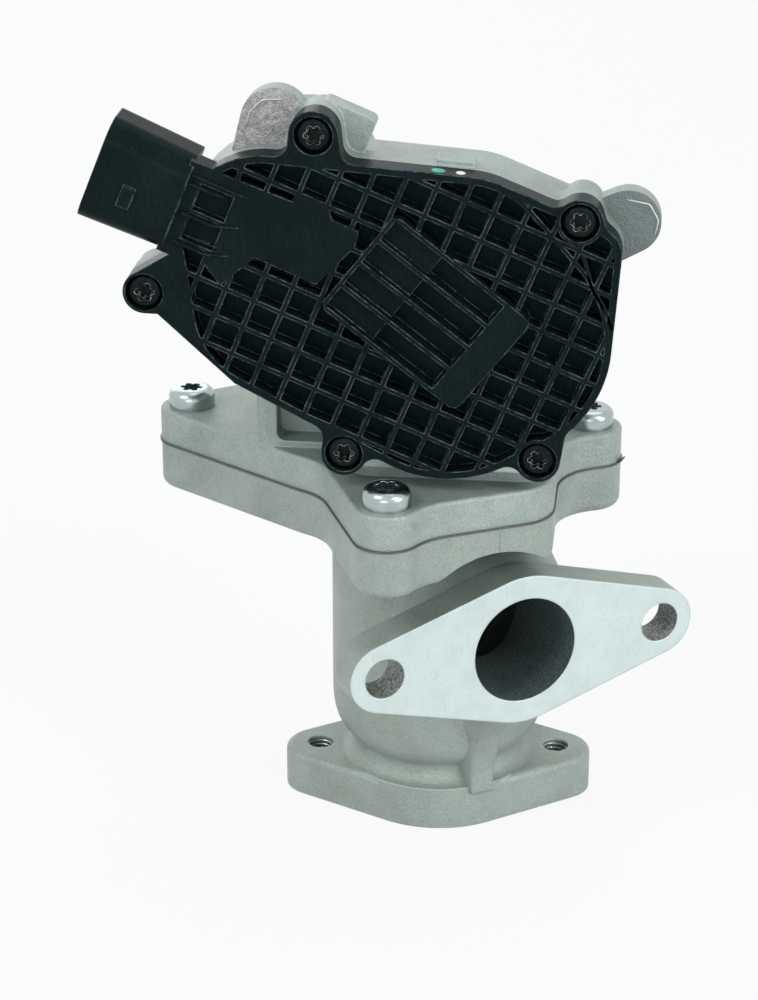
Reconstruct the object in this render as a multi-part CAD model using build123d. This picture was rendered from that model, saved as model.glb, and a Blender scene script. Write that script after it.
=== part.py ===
from build123d import *
from math import atan2, cos, degrees, hypot, pi, radians, sin, sqrt
import os

# Exhaust-gas recirculation valve with an electric actuator, in millimetres.
#
# Frame: +Z up, origin on the valve axis at the lower face of the base flange.
# The gear cover faces -Y. The valve stem slides along Z, every gear turns about Y.

# ---------------------------------------------------------------- clearances
RUNNING_GAP = 0.05       # radial gap of a shaft in its bush
MATE_GAP = 0.3           # gap between pieces that move past each other
CONTACT_GAP = 0.08       # cam to roller, valve to seat

# ---------------------------------------------------------------- valve body
BASE_THICK = 10.0
BASE_MID_R = 22.2
BASE_END_R = 8.0
BASE_HOLE_SPACING = 54.8
BASE_TURN = 4.6          # degrees that the base flange is turned about Z
BASE_HOLE_R = 3.0        # M6 thread
BASE_BORE_R = 15.5
INLET_DEPTH = 20.0       # depth of the wide bore below the seat
SEAT_POCKET_R = 15.0     # press fit of the seat ring
NECK_R = 24.4
WAIST_R = 19.2
WAIST_Z = 13.0            # height of the narrowest place
ROOT_FILLET = 3.0        # where the neck meets its flanges
NECK_START_Z = 26.0
CHAMBER_R = 19.5
CHAMBER_TOP_Z = 68.0
LEDGE_R = 13.6
LEDGE_Z = 27.0
LEDGE_THICK = 2.0
BODY_TOP_Z = 84.5
BODY_FLANGE_THICK = 10.6
SPRING_WELL_R = 13.5
SPRING_WELL_Z = 77.0
TOWER_R = 7.6
TOWER_TOP_Z = 90.0

# ---------------------------------------------------------------- side port
PORT_TURN = 31.0         # degrees from -Y towards +X
PORT_Z = 53.1
PORT_FACE = 42.1         # distance of the machined face from the valve axis
PORT_THICK = 8.0
PORT_BORE_R = 12.0
PORT_MID_R = 17.2
PORT_END_R = 7.9
PORT_HOLE_SPACING = 66.2
PORT_HOLE_R = 4.5        # clearance for M8
PORT_STUB_R = 16.6
PORT_ROOT_R = 21.0
GUSSET_THICK = 5.0
# web under the port: distance from the valve axis, height
GUSSET_POINTS = ((16.0, 9.0), (23.0, 9.0), (22.4, 14.0), (25.0, 24.0), (35.0, 38.0), (16.0, 40.0))
RELIEF_R = 20.5
RELIEF_SHIFT = -9.0      # across the port axis
RELIEF_Z = 58.7
RELIEF_START = 33.0      # distance from the valve axis

# ---------------------------------------------------------------- foot flange
FOOT_THICK = 7.5
LOBE_R = 7.0
LOBE_LEFT = (-56.0, 0.0)
LOBE_FRONT = (-6.5, -52.0)
LOBE_RIGHT = (33.0, -2.0)
LOBE_BACK = (-6.5, 50.0)
FOOT_CORNER = (17.2, -32.6)
FOOT_CORNER_R = 9.6
FOOT_SIDE = (-18.0, -12.0)
FOOT_SIDE_R = 19.0
FRONT_SHOULDER = (2.0, -44.0, 6.5)   # round beside the front lobe
FOOT_FILLET = 13.0
GASKET_THICK = 0.4
GASKET_PROUD = 0.35
FOOT_SCREW_R = 2.5       # M5
FOOT_HEAD_R = 5.1
FOOT_HEAD_HEIGHT = 4.2
FOOT_SCREW_LENGTH = 17.0

# ---------------------------------------------------------------- gear train
OUTPUT_X = 0.0
OUTPUT_Z = 124.0
MOTOR_X = -31.0
MOTOR_Z = 144.0
FIRST_MODULE = 0.6
SECOND_MODULE = 0.9
PINION_TEETH = 12
LARGE_TEETH = 40
SMALL_TEETH = 12
SECTOR_TEETH = 48        # teeth of the full circle
PRESSURE_ANGLE = 25.0
TOOTH_THINNING = 0.12    # backlash taken from each tooth, mm on the pitch circle
OPEN_ANGLE = 75.0        # output gear travel, degrees
SECTOR_MARGIN = 14.0     # teeth beyond the travel at each end, degrees

# ---------------------------------------------------------------- lift mechanism
LIFT = 7.0
CAM_BASE = 10.0          # roller centre below the cam axis when closed
ROLLER_R = 3.5
ROLLER_WIDTH = 5.6
CAM_WIDTH = 5.6
CAM_HUB_R = 6.2
STEM_R = 3.0
FORK_HALF_WIDTH = 4.2
FORK_CHEEK = 2.0
FORK_BASE = 3.5
ROLLER_PIN_R = 1.5
RETAINER_R = 11.6
RETAINER_THICK = 2.0
SPRING_MEAN_R = 9.9
SPRING_WIRE_R = 0.9
SPRING_COILS = 5.5
HEAD_R = 13.1
HEAD_RIM = 1.6
SEAT_R = 12.0
SEAT_HEIGHT = 5.0
BUSH_R = 5.5
BUSH_LENGTH = 26.0
SEAL_HEIGHT = 2.6

# ---------------------------------------------------------------- gear case, along Y
COVER_FRONT_Y = -45.0
COVER_DEPTH = 5.5
COVER_SKIN = 1.6
RIB_DROP = 0.3           # rib tops below the cover rim
CASE_DEPTH = 15.0
CASE_FLOOR = 3.0
CASE_WALL = 3.0
RIM_DEPTH = 6.0
CASE_EDGE = 2.0          # rounding at the back of the case
CASE_FRONT_Y = COVER_FRONT_Y + COVER_DEPTH
FLOOR_Y = CASE_FRONT_Y + CASE_DEPTH
CASE_BACK_Y = FLOOR_Y + CASE_FLOOR

# cover outline in X and Z: centre and radius of each round stretch of its convex body
COVER_ROUNDS = (
    (-32.0, 145.0, 18.0),
    (-30.5, 130.5, 17.6),
    (4.5, 121.4, 25.7),
    (12.0, 126.0, 26.0),
    (8.0, 141.0, 19.0),
)
CORNER_ROUND = (33.2, 144.6, 6.2)
CAVITY_CORNER = (31.5, 141.5, 6.2)   # the cavity and the seal pass inside the screw
# screw bosses: centre, radius, and the body round that each one leans on
BOSSES = (
    ((-21.9, 167.3, 5.0), (-21.9, 156.0, 6.2)),
    ((30.9, 151.3, 4.7), (30.5, 143.0, 7.5)),
    ((-56.8, 133.7, 4.4), (-46.0, 136.5, 7.5)),
    ((-16.2, 100.3, 4.7), (-14.0, 109.0, 5.6)),
    ((23.7, 100.5, 4.6), (22.0, 109.0, 7.6)),
)
BOSS_FILLET = 3.0

# ---------------------------------------------------------------- cover ribs
RIB_PITCH = 6.15
RIB_THICK = 0.95
RIB_TURN = 22.5          # degrees that the rib grid and the connector are turned
RIB_NODE = (2.5, 157.4)  # one crossing of the grid
COVER_RIM = 1.5
COLLAR_WALL = 0.7
COVER_SCREW_R = 2.0      # M4
COVER_HEAD_R = 3.6
COVER_HEAD_HEIGHT = 2.6
COVER_SCREW_LENGTH = 12.0

# ---------------------------------------------------------------- raised block
BLOCK_CENTRE = (0.6, 131.6)
BLOCK_TURN = 38.0
BLOCK_LENGTH = 35.0
BLOCK_WIDTH = 24.8
BLOCK_RISE = 1.2
BLOCK_WALL = 0.9
BLOCK_END_BAR = 6.6
BLOCK_POCKETS = 4
BLOCK_STEP = 12.0        # length of the shallow half of each pocket

# ---------------------------------------------------------------- connector
SHROUD_ROOT = (-45.0, -24.6)   # along and across the rib grid, from RIB_NODE
SHROUD_LENGTH = 19.0
SHROUD_ROOT_WIDTH = 20.6
SHROUD_MOUTH_WIDTH = 22.0
SHROUD_DEPTH = 15.0
SHROUD_FRONT_Y = -46.2
SHROUD_WALL = 1.7
SHROUD_CORNER = 4.6
SOCKET_DEPTH = 15.5
PIN_COUNT = 5
PIN_PITCH = 3.1
PIN_SIZE = 0.8
PIN_REACH = 8.0

# ---------------------------------------------------------------- motor
MOTOR_CAN_R = 12.0
MOTOR_CAN_LENGTH = 40.0
MOTOR_CAN_WALL = 1.0
MAGNET_THICK = 2.0
ARMATURE_R = 8.6
ARMATURE_LENGTH = 20.0
ARMATURE_SLOTS = 5
MOTOR_SHAFT_R = 1.5
BARREL_WALL = 2.9
MOTOR_EAR_R = 2.5
MOTOR_FLANGE_THICK = 1.6
MOTOR_SCREW_OFFSET = 13.8

# ---------------------------------------------------------------- output shaft
SHAFT_R = 4.0
SHAFT_BUSH_R = 6.0
CHAMBER_HALF_X = 14.4
CHAMBER_FRONT_Y = -13.4
CHAMBER_BACK_Y = 13.4
CHAMBER_WALL = 3.2
CAP_R = 16.0
CAP_THICK = 3.0
BEARING_R = 8.0
BEARING_WIDTH = 5.0

# ---------------------------------------------------------------- derived values
BODY_FLANGE_Z = BODY_TOP_Z - BODY_FLANGE_THICK
FOOT_Z = BODY_TOP_Z + GASKET_THICK
FOOT_TOP_Z = FOOT_Z + FOOT_THICK
CHAMBER_TOP = OUTPUT_Z + CHAMBER_HALF_X
FIRST_CENTRES = FIRST_MODULE * (PINION_TEETH + LARGE_TEETH) / 2
SECOND_CENTRES = SECOND_MODULE * (SMALL_TEETH + SECTOR_TEETH) / 2
ROLLER_Z = OUTPUT_Z - CAM_BASE
FORK_TOP_OF_BASE = ROLLER_Z - ROLLER_R - MATE_GAP
FORK_Z = FORK_TOP_OF_BASE - FORK_BASE
RETAINER_Z = FORK_Z - RETAINER_THICK
SPRING_SEAT_THICK = 1.0
SPRING_BOTTOM_Z = SPRING_WELL_Z + SPRING_SEAT_THICK
SEAT_Z = LEDGE_Z - SEAT_HEIGHT
LARGE_GEAR_BACK_Y = FLOOR_Y - 0.8
LARGE_GEAR_THICK = 3.5
SMALL_GEAR_LENGTH = 6.8
SECTOR_THICK = 5.4
SECTOR_BACK_Y = LARGE_GEAR_BACK_Y - LARGE_GEAR_THICK - 0.8
SECTOR_FRONT_Y = SECTOR_BACK_Y - SECTOR_THICK
GEAR_FRONT_Y = LARGE_GEAR_BACK_Y - LARGE_GEAR_THICK - SMALL_GEAR_LENGTH
HUB_FRONT_Y = SECTOR_FRONT_Y - 1.2
HUB_R = 10.0
MAGNET_R = 5.0
MAGNET_PROUD = 0.8
MAGNET_SEAT_DEPTH = 1.0
SHAFT_FRONT_Y = HUB_FRONT_Y + MAGNET_SEAT_DEPTH
SHAFT_BACK_Y = CHAMBER_BACK_Y - 0.4
CAM_HUB_FRONT_Y = CHAMBER_FRONT_Y + MATE_GAP
CAM_HUB_BACK_Y = CHAMBER_BACK_Y - BEARING_WIDTH - MATE_GAP
SEAT_CHAMFER = 1.4
HEAD_TOP_Z = SEAT_Z + 6.0
GEAR_PIN_R = 1.8
GEAR_PIN_BACK_Y = CASE_BACK_Y + 3.0
PINION_FRONT_Y = LARGE_GEAR_BACK_Y - LARGE_GEAR_THICK - 0.4
MOTOR_FRONT_Y = FLOOR_Y + MOTOR_FLANGE_THICK
MOTOR_BUSH_R = 3.5
MOTOR_SCREW_R = 1.25
MOTOR_SCREW_HEAD_R = 2.0
MOTOR_HEAD_SINK = 0.8
BARREL_END_Y = MOTOR_FRONT_Y + MOTOR_CAN_LENGTH
COMMUTATOR_R = 4.0
COMMUTATOR_Y = FLOOR_Y + 5.0
ARMATURE_Y = COMMUTATOR_Y + 7.0
BRUSH_END = 8.5
BRUSH_SIZE = 3.0
WINDOW_BACK_Y = -17.0
LUG_FRONT_Y = CASE_FRONT_Y + 3.8
LUG_THICK = 5.6
SEAL_OUTER_INSET = 0.7
SEAL_WIDTH = 1.6
SEAL_DEPTH = 1.0
COVER_LIP = 1.5
COVER_HEAD_SEAT_Y = COVER_FRONT_Y + COVER_HEAD_HEIGHT + 0.5
COVER_SCREW_END_Y = COVER_HEAD_SEAT_Y + COVER_SCREW_LENGTH
SHROUD_SETOFF = 0.8
PIN_ROOT = 2.4


def intermediate_centre():
    """Centre of the intermediate gear, below the line from output to motor."""
    across, up = MOTOR_X - OUTPUT_X, MOTOR_Z - OUTPUT_Z
    span = hypot(across, up)
    along = (SECOND_CENTRES**2 - FIRST_CENTRES**2 + span**2) / (2 * span)
    off = sqrt(SECOND_CENTRES**2 - along**2)
    x = OUTPUT_X + (across * along - up * off) / span
    z = OUTPUT_Z + (up * along + across * off) / span
    return x, z


MIDDLE_X, MIDDLE_Z = intermediate_centre()


# ---------------------------------------------------------------- helpers
def slab(face, y_front, y_back):
    """Extrude a sketch drawn in X and Z between two planes across Y."""
    plane = Plane(origin=(0, y_back, 0), x_dir=(1, 0, 0), z_dir=(0, -1, 0))
    return extrude(plane * face, y_back - y_front)


def plate(face, z_low, z_high):
    """Extrude a plan sketch between two heights."""
    return extrude(Pos(0, 0, z_low) * face, z_high - z_low)


def rod_y(x, z, radius, y_front, y_back):
    """Round bar along Y."""
    return slab(Pos(x, z) * Circle(radius), y_front, y_back)


def tube_y(x, z, outer, inner, y_front, y_back):
    """Round tube along Y."""
    return slab(Pos(x, z) * (Circle(outer) - Circle(inner)), y_front, y_back)


def rod_z(x, y, radius, z_low, z_high):
    """Upright round bar."""
    return plate(Pos(x, y) * Circle(radius), z_low, z_high)


def tube_z(x, y, outer, inner, z_low, z_high):
    """Upright round tube."""
    return plate(Pos(x, y) * (Circle(outer) - Circle(inner)), z_low, z_high)


def hull(rounds, grow=0.0):
    """Convex face around circles given as (x, y, radius)."""
    edges = [(Pos(x, y) * Circle(radius + grow)).edge() for x, y, radius in rounds]
    return make_hull(edges)


def close_corners(face, radius):
    """Round every inward corner of a face."""
    grown = offset(face, radius, kind=Kind.ARC)
    return offset(grown, -radius, kind=Kind.ARC)


def grid_frame():
    """Plane of the rib grid: local X runs along the ribs, local Y across them."""
    return Pos(*RIB_NODE) * Rot(0, 0, -RIB_TURN)


def group(*pieces):
    """Several separate solids in one node."""
    solids = []
    for piece in pieces:
        solids.extend(piece.solids())
    return Compound(children=solids)


# ---------------------------------------------------------------- outlines
def foot_outline(grow=0.0):
    """Four-lobed plan of the foot, the gasket and the body's upper flange."""
    side = (*FOOT_SIDE, FOOT_SIDE_R)
    corner = (*FOOT_CORNER, FOOT_CORNER_R)
    back_side = (FOOT_SIDE[0], -FOOT_SIDE[1], FOOT_SIDE_R)
    back_corner = (FOOT_CORNER[0], -FOOT_CORNER[1] - 2, FOOT_CORNER_R)
    body = hull([side, corner, back_side, back_corner], grow)
    left = hull([(*LOBE_LEFT, LOBE_R), side, back_side], grow)
    front = hull([(*LOBE_FRONT, LOBE_R), (-11.5, -32.0, 10.0)], grow)
    front += hull([corner, FRONT_SHOULDER], grow)
    back = hull([(*LOBE_BACK, LOBE_R), (-6.5, 32.0, 12.0)], grow)
    right = hull([(*LOBE_RIGHT, LOBE_R), (18.0, -2.0, 12.0)], grow)
    return close_corners(body + left + front + back + right, FOOT_FILLET)


def lobe_points():
    """Centres of the four foot screws."""
    return (LOBE_LEFT, LOBE_FRONT, LOBE_RIGHT, LOBE_BACK)


def boss_points():
    """Centres of the cover screws in X and Z."""
    return [(boss[0], boss[1]) for boss, _ in BOSSES]


def cover_outline():
    """Outline of the gear cover with its five screw bosses."""
    face = hull([*COVER_ROUNDS, CORNER_ROUND])
    for boss, root in BOSSES:
        face = face + hull([boss, root])
    return close_corners(face, BOSS_FILLET)


def case_cavity(grow=0.0):
    """Inside outline of the gear case."""
    return hull([*COVER_ROUNDS, CAVITY_CORNER], grow - CASE_WALL)


def sole_outline():
    """Straight lower edge of the case rim between the two lower bosses."""
    left, right = BOSSES[3][0], BOSSES[4][0]
    low = left[1] - left[2] - 0.2
    return Pos((left[0] + right[0]) / 2, low + 6) * Rectangle(right[0] - left[0], 12)


# ---------------------------------------------------------------- gear teeth
def involute(base_r, radius):
    """Polar angle of an involute at a radius."""
    if radius <= base_r:
        return 0.0
    roll = sqrt((radius / base_r) ** 2 - 1)
    return roll - atan2(roll, 1)


def tooth_points(module, teeth, steps=4):
    """One tooth, centred on the local X axis, as half flank radii and angles."""
    pitch_r = module * teeth / 2
    base_r = pitch_r * cos(radians(PRESSURE_ANGLE))
    root_r = pitch_r - 1.2 * module
    tip_r = pitch_r + 0.95 * module
    half = pi / (2 * teeth) - TOOTH_THINNING / pitch_r
    start_r = max(root_r + 0.15 * module, base_r)
    widest = half + involute(base_r, pitch_r)
    flank = [(root_r, widest - involute(base_r, start_r))]
    for step in range(steps + 1):
        radius = start_r + (tip_r - start_r) * step / steps
        flank.append((radius, widest - involute(base_r, radius)))
    return flank


def toothed_face(module, teeth, first_angle, used):
    """Gear face with `used` teeth from `first_angle` (degrees), one tooth centred there."""
    flank = tooth_points(module, teeth)
    points = []
    for index in range(used):
        middle = radians(first_angle) + index * 2 * pi / teeth
        for radius, half in flank:
            points.append((radius * cos(middle - half), radius * sin(middle - half)))
        for radius, half in reversed(flank):
            points.append((radius * cos(middle + half), radius * sin(middle + half)))
    if used < teeth:
        points.append((0.0, 0.0))
    return make_face(Polyline(*points, close=True))


# ---------------------------------------------------------------- valve body
def neck_solid():
    """Outer form of the neck: filleted foot, waist, round chamber and filleted shoulder."""
    shoulder_r = NECK_R + ROOT_FILLET
    shoulder_z = BODY_FLANGE_Z - ROOT_FILLET
    flare = Spline(
        (WAIST_R + ROOT_FILLET, BASE_THICK), (WAIST_R, WAIST_Z), (NECK_R, NECK_START_Z),
        tangents=((-1, 0.1), (0, 1)),
    )
    lines = [
        Line((0, 0), (WAIST_R + ROOT_FILLET, 0)),
        Line((WAIST_R + ROOT_FILLET, 0), (WAIST_R + ROOT_FILLET, BASE_THICK)),
        flare,
        Line((NECK_R, NECK_START_Z), (NECK_R, shoulder_z)),
        RadiusArc((NECK_R, shoulder_z), (shoulder_r, BODY_FLANGE_Z), ROOT_FILLET),
        Line((shoulder_r, BODY_FLANGE_Z), (shoulder_r, BODY_FLANGE_Z + 1)),
        Line((shoulder_r, BODY_FLANGE_Z + 1), (0, BODY_FLANGE_Z + 1)),
        Line((0, BODY_FLANGE_Z + 1), (0, 0)),
    ]
    return revolve(Plane.XZ * make_face(lines), Axis.Z)


def port_gusset():
    """Cast web under the port stub, in the upright plane of the port axis."""
    web = Polyline(*GUSSET_POINTS, close=True)
    turn = radians(PORT_TURN)
    plane = Plane(origin=(0, 0, 0), x_dir=(sin(turn), -cos(turn), 0), z_dir=(-cos(turn), -sin(turn), 0))
    return extrude(plane * make_face(web), GUSSET_THICK / 2, both=True)


def port_relief():
    """Round relief in the upper flange that clears the mating flange of the port."""
    disc = Pos(RELIEF_SHIFT, RELIEF_Z - PORT_Z) * Circle(RELIEF_R)
    return extrude(port_frame(PORT_FACE - RELIEF_START) * disc, 2 * PORT_FACE)


def port_frame(setback=0.0):
    """Plane parallel to the port face: local Y is up and local Z points outwards."""
    turn = radians(PORT_TURN)
    outward = Vector(sin(turn), -cos(turn), 0)
    origin = outward * (PORT_FACE - setback) + Vector(0, 0, PORT_Z)
    return Plane(origin=origin, x_dir=(cos(turn), sin(turn), 0), z_dir=outward)


def port_outline():
    """Diamond of the side port flange."""
    half = PORT_HOLE_SPACING / 2
    return hull([(-half, 0, PORT_END_R), (0, 0, PORT_MID_R), (half, 0, PORT_END_R)])


def base_frame():
    """Frame of the turned base flange."""
    return Rot(0, 0, BASE_TURN)


def base_outline():
    """Diamond of the base flange."""
    half = BASE_HOLE_SPACING / 2
    return hull([(-half, 0, BASE_END_R), (0, 0, BASE_MID_R), (half, 0, BASE_END_R)])


def port_stub():
    """Conical pipe stub between the neck and the side port flange."""
    outer = port_frame(PORT_THICK - 1) * Circle(PORT_STUB_R)
    inner = port_frame(PORT_FACE - WAIST_R) * Circle(PORT_ROOT_R)
    return loft([outer, inner])


def body_cavities():
    """Everything bored out of the valve body."""
    cut = rod_z(0, 0, BASE_BORE_R, -1, INLET_DEPTH)
    cut += rod_z(0, 0, SEAT_POCKET_R, INLET_DEPTH - 1, LEDGE_Z)
    cut += rod_z(0, 0, LEDGE_R, LEDGE_Z - 1, LEDGE_Z + LEDGE_THICK + 1)
    cut += rod_z(0, 0, CHAMBER_R, LEDGE_Z + LEDGE_THICK, CHAMBER_TOP_Z)
    cut += extrude(port_frame() * Circle(PORT_BORE_R), -PORT_FACE)
    cut += rod_z(0, 0, SPRING_WELL_R, SPRING_WELL_Z, BODY_TOP_Z + 1)
    for side in (-1, 1):
        x = side * BASE_HOLE_SPACING / 2
        cut += base_frame() * rod_z(x, 0, BASE_HOLE_R, -1, BASE_THICK + 1)
        hole = port_frame() * Pos(side * PORT_HOLE_SPACING / 2, 0) * Circle(PORT_HOLE_R)
        cut += extrude(hole, -PORT_THICK - 1)
    for x, y in lobe_points():
        cut += rod_z(x, y, FOOT_SCREW_R, BODY_FLANGE_Z - 1, BODY_TOP_Z + 1)
    return cut


def valve_body():
    """Casting with base flange, neck, side port and four-lobed upper flange."""
    base = base_frame() * plate(base_outline(), 0, BASE_THICK)
    base = fillet(base.edges().group_by(Axis.Z)[-1], 1.6)
    port = extrude(port_frame() * port_outline(), -PORT_THICK)
    top = plate(foot_outline(), BODY_FLANGE_Z, BODY_TOP_Z)
    top = fillet(top.edges().group_by(Axis.Z)[0], 2.0)
    body = base + neck_solid() + port_stub() + port_gusset() + (top - port_relief()) + port
    body -= body_cavities()
    tower = rod_z(0, 0, TOWER_R, SPRING_WELL_Z - 1, TOWER_TOP_Z)
    boss = rod_z(0, 0, TOWER_R + 1, TOWER_TOP_Z - BUSH_LENGTH, CHAMBER_TOP_Z + 1)
    bush_hole = rod_z(0, 0, BUSH_R, TOWER_TOP_Z - BUSH_LENGTH - 1, TOWER_TOP_Z + 1)
    return body + tower + boss - bush_hole


# ---------------------------------------------------------------- valve and stem
def valve_seat():
    """Pressed-in seat ring with a conical face at its lower mouth."""
    ring = tube_z(0, 0, SEAT_POCKET_R, SEAT_R, SEAT_Z, LEDGE_Z)
    return chamfer(ring.edges().group_by(Axis.Z)[0].sort_by(SortBy.RADIUS)[0], SEAT_CHAMFER)


def valve_head():
    """Poppet whose cone closes against the seat."""
    top_r = HEAD_R - SEAT_CHAMFER - CONTACT_GAP
    profile = Polyline(
        (0, SEAT_Z - HEAD_RIM), (HEAD_R, SEAT_Z - HEAD_RIM), (HEAD_R, SEAT_Z - CONTACT_GAP),
        (top_r, SEAT_Z + SEAT_CHAMFER - CONTACT_GAP), (STEM_R + 3, HEAD_TOP_Z - 3),
        (STEM_R + 0.8, HEAD_TOP_Z), (0, HEAD_TOP_Z), close=True,
    )
    head = revolve(Plane.XZ * make_face(profile), Axis.Z)
    return head - rod_z(0, 0, STEM_R, SEAT_Z - HEAD_RIM - 1, HEAD_TOP_Z + 1)


def valve_stem():
    """Straight stem from the valve head up to the fork."""
    return rod_z(0, 0, STEM_R, SEAT_Z - HEAD_RIM, FORK_TOP_OF_BASE)


def stem_bush():
    """Guide bush pressed into the tower."""
    return tube_z(0, 0, BUSH_R, STEM_R + RUNNING_GAP, TOWER_TOP_Z - BUSH_LENGTH, TOWER_TOP_Z)


def stem_seal():
    """Lip seal capping the tower."""
    ring = tube_z(0, 0, TOWER_R, STEM_R + RUNNING_GAP, TOWER_TOP_Z, TOWER_TOP_Z + SEAL_HEIGHT)
    return chamfer(ring.edges().group_by(Axis.Z)[-1].sort_by(SortBy.RADIUS)[-1], 1.4)


def spring_seat():
    """Flat washer under the return spring."""
    return tube_z(0, 0, SPRING_WELL_R, TOWER_R + MATE_GAP, SPRING_WELL_Z, SPRING_BOTTOM_Z)


def return_spring():
    """Compression spring that holds the valve closed."""
    low = SPRING_BOTTOM_Z + SPRING_WIRE_R
    height = RETAINER_Z - SPRING_WIRE_R - low
    path = Pos(0, 0, low) * Helix(height / SPRING_COILS, height, SPRING_MEAN_R)
    section = Plane(origin=path @ 0, z_dir=path % 0) * Circle(SPRING_WIRE_R)
    return sweep(section, path=path, is_frenet=True)


def spring_retainer():
    """Dished disc that carries the top of the spring."""
    disc = tube_z(0, 0, RETAINER_R, STEM_R, RETAINER_Z, FORK_Z)
    skirt = tube_z(0, 0, SPRING_MEAN_R - SPRING_WIRE_R - 0.2, STEM_R, RETAINER_Z - 2.4, RETAINER_Z)
    return disc + skirt


def stem_fork():
    """Clevis on top of the stem, holding the roller between two cheeks."""
    depth = ROLLER_WIDTH / 2 + MATE_GAP + FORK_CHEEK
    top_z = ROLLER_Z + ROLLER_PIN_R + 1.4
    side = Pos(0, (FORK_Z + top_z) / 2) * RectangleRounded(2 * FORK_HALF_WIDTH, top_z - FORK_Z, 1.2)
    fork = slab(side, -depth, depth)
    slot = Pos(0, FORK_TOP_OF_BASE + 10) * Rectangle(4 * FORK_HALF_WIDTH, 20)
    fork -= slab(slot, -depth + FORK_CHEEK, depth - FORK_CHEEK)
    fork -= rod_y(0, ROLLER_Z, ROLLER_PIN_R, -depth - 1, depth + 1)
    return fork - rod_z(0, 0, STEM_R, FORK_Z - 1, FORK_TOP_OF_BASE + 1)


def roller_pin():
    """Pin across the fork."""
    depth = ROLLER_WIDTH / 2 + MATE_GAP + FORK_CHEEK
    return rod_y(0, ROLLER_Z, ROLLER_PIN_R, -depth, depth)


def cam_roller():
    """Roller that the cam pushes down."""
    half = ROLLER_WIDTH / 2
    return tube_y(0, ROLLER_Z, ROLLER_R, ROLLER_PIN_R + RUNNING_GAP, -half, half)


# ---------------------------------------------------------------- cam and output shaft
def cam_point(angle):
    """Point of the cam flank: the roller centre moves out evenly with the angle."""
    rate = LIFT / radians(OPEN_ANGLE)
    turn = radians(angle)
    reach = CAM_BASE + rate * turn
    tangent_x = rate * sin(turn) + reach * cos(turn)
    tangent_z = -rate * cos(turn) + reach * sin(turn)
    length = hypot(tangent_x, tangent_z)
    inset = ROLLER_R + CONTACT_GAP
    x = reach * sin(turn) - inset * tangent_z / length
    z = -reach * cos(turn) + inset * tangent_x / length
    return x, z


def lift_cam():
    """Cam whose rise is proportional to the turn of the shaft."""
    angles = [-8 + step * (OPEN_ANGLE + 16) / 8 for step in range(9)]
    flank = Spline(*[cam_point(angle) for angle in angles])
    ends = [Line((0, 0), flank @ 0), Line(flank @ 1, (0, 0))]
    lobe = make_face([ends[0], flank, ends[1]])
    half = CAM_WIDTH / 2
    cam = slab(Pos(OUTPUT_X, OUTPUT_Z) * lobe, -half, half)
    cam += rod_y(OUTPUT_X, OUTPUT_Z, CAM_HUB_R, CAM_HUB_FRONT_Y, CAM_HUB_BACK_Y)
    return cam - rod_y(OUTPUT_X, OUTPUT_Z, SHAFT_R, -50, 50)


def output_shaft():
    """Shaft from the sector gear to the rear bearing."""
    return rod_y(OUTPUT_X, OUTPUT_Z, SHAFT_R, SHAFT_FRONT_Y, SHAFT_BACK_Y)


def shaft_bush():
    """Long bush in the wall between gear case and cam chamber."""
    inner = SHAFT_R + RUNNING_GAP
    return tube_y(OUTPUT_X, OUTPUT_Z, SHAFT_BUSH_R, inner, FLOOR_Y, CHAMBER_FRONT_Y)


def rear_bearing():
    """Ball bearing in the rear cap, as its two races in one closed ring."""
    inner = SHAFT_R + RUNNING_GAP
    front = CHAMBER_BACK_Y - BEARING_WIDTH
    return tube_y(OUTPUT_X, OUTPUT_Z, BEARING_R, inner, front, CHAMBER_BACK_Y)


def rear_cap():
    """Pressed-in cap that closes the cam chamber and holds the rear bearing."""
    back = CHAMBER_BACK_Y + CHAMBER_WALL
    cap = rod_y(OUTPUT_X, OUTPUT_Z, CAP_R, back - CAP_THICK / 2, back)
    cap += rod_y(OUTPUT_X, OUTPUT_Z, CHAMBER_HALF_X - 0.5, CHAMBER_BACK_Y, back - CAP_THICK / 2)
    hub_front = CHAMBER_BACK_Y - BEARING_WIDTH
    return cap + tube_y(OUTPUT_X, OUTPUT_Z, BEARING_R + 2, BEARING_R, hub_front, CHAMBER_BACK_Y)


# ---------------------------------------------------------------- gears
def output_gear():
    """Toothed sector on a round hub, with a seat for the sensor magnet."""
    toward = degrees(atan2(MIDDLE_Z - OUTPUT_Z, MIDDLE_X - OUTPUT_X))
    step = 360 / SECTOR_TEETH
    before = round(SECTOR_MARGIN / step)
    used = before + round((OPEN_ANGLE + SECTOR_MARGIN) / step) + 1
    first = toward - before * step
    sector = toothed_face(SECOND_MODULE, SECTOR_TEETH, first, used)
    web = Circle(SECOND_MODULE * SECTOR_TEETH / 2 - 4.5) - Circle(HUB_R + 1.5)
    opening = web & sector
    gear = slab(Pos(OUTPUT_X, OUTPUT_Z) * sector, SECTOR_FRONT_Y, SECTOR_BACK_Y)
    gear -= slab(Pos(OUTPUT_X, OUTPUT_Z) * opening, SECTOR_FRONT_Y - 1, SECTOR_FRONT_Y + 1.8)
    gear += rod_y(OUTPUT_X, OUTPUT_Z, HUB_R, HUB_FRONT_Y, LARGE_GEAR_BACK_Y)
    gear -= rod_y(OUTPUT_X, OUTPUT_Z, MAGNET_R, HUB_FRONT_Y - 1, SHAFT_FRONT_Y)
    return gear - rod_y(OUTPUT_X, OUTPUT_Z, SHAFT_R, SHAFT_FRONT_Y, 0)


def sensor_magnet():
    """Magnet on the end of the shaft, read through the cover."""
    return rod_y(OUTPUT_X, OUTPUT_Z, MAGNET_R, HUB_FRONT_Y - MAGNET_PROUD, SHAFT_FRONT_Y)


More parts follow.
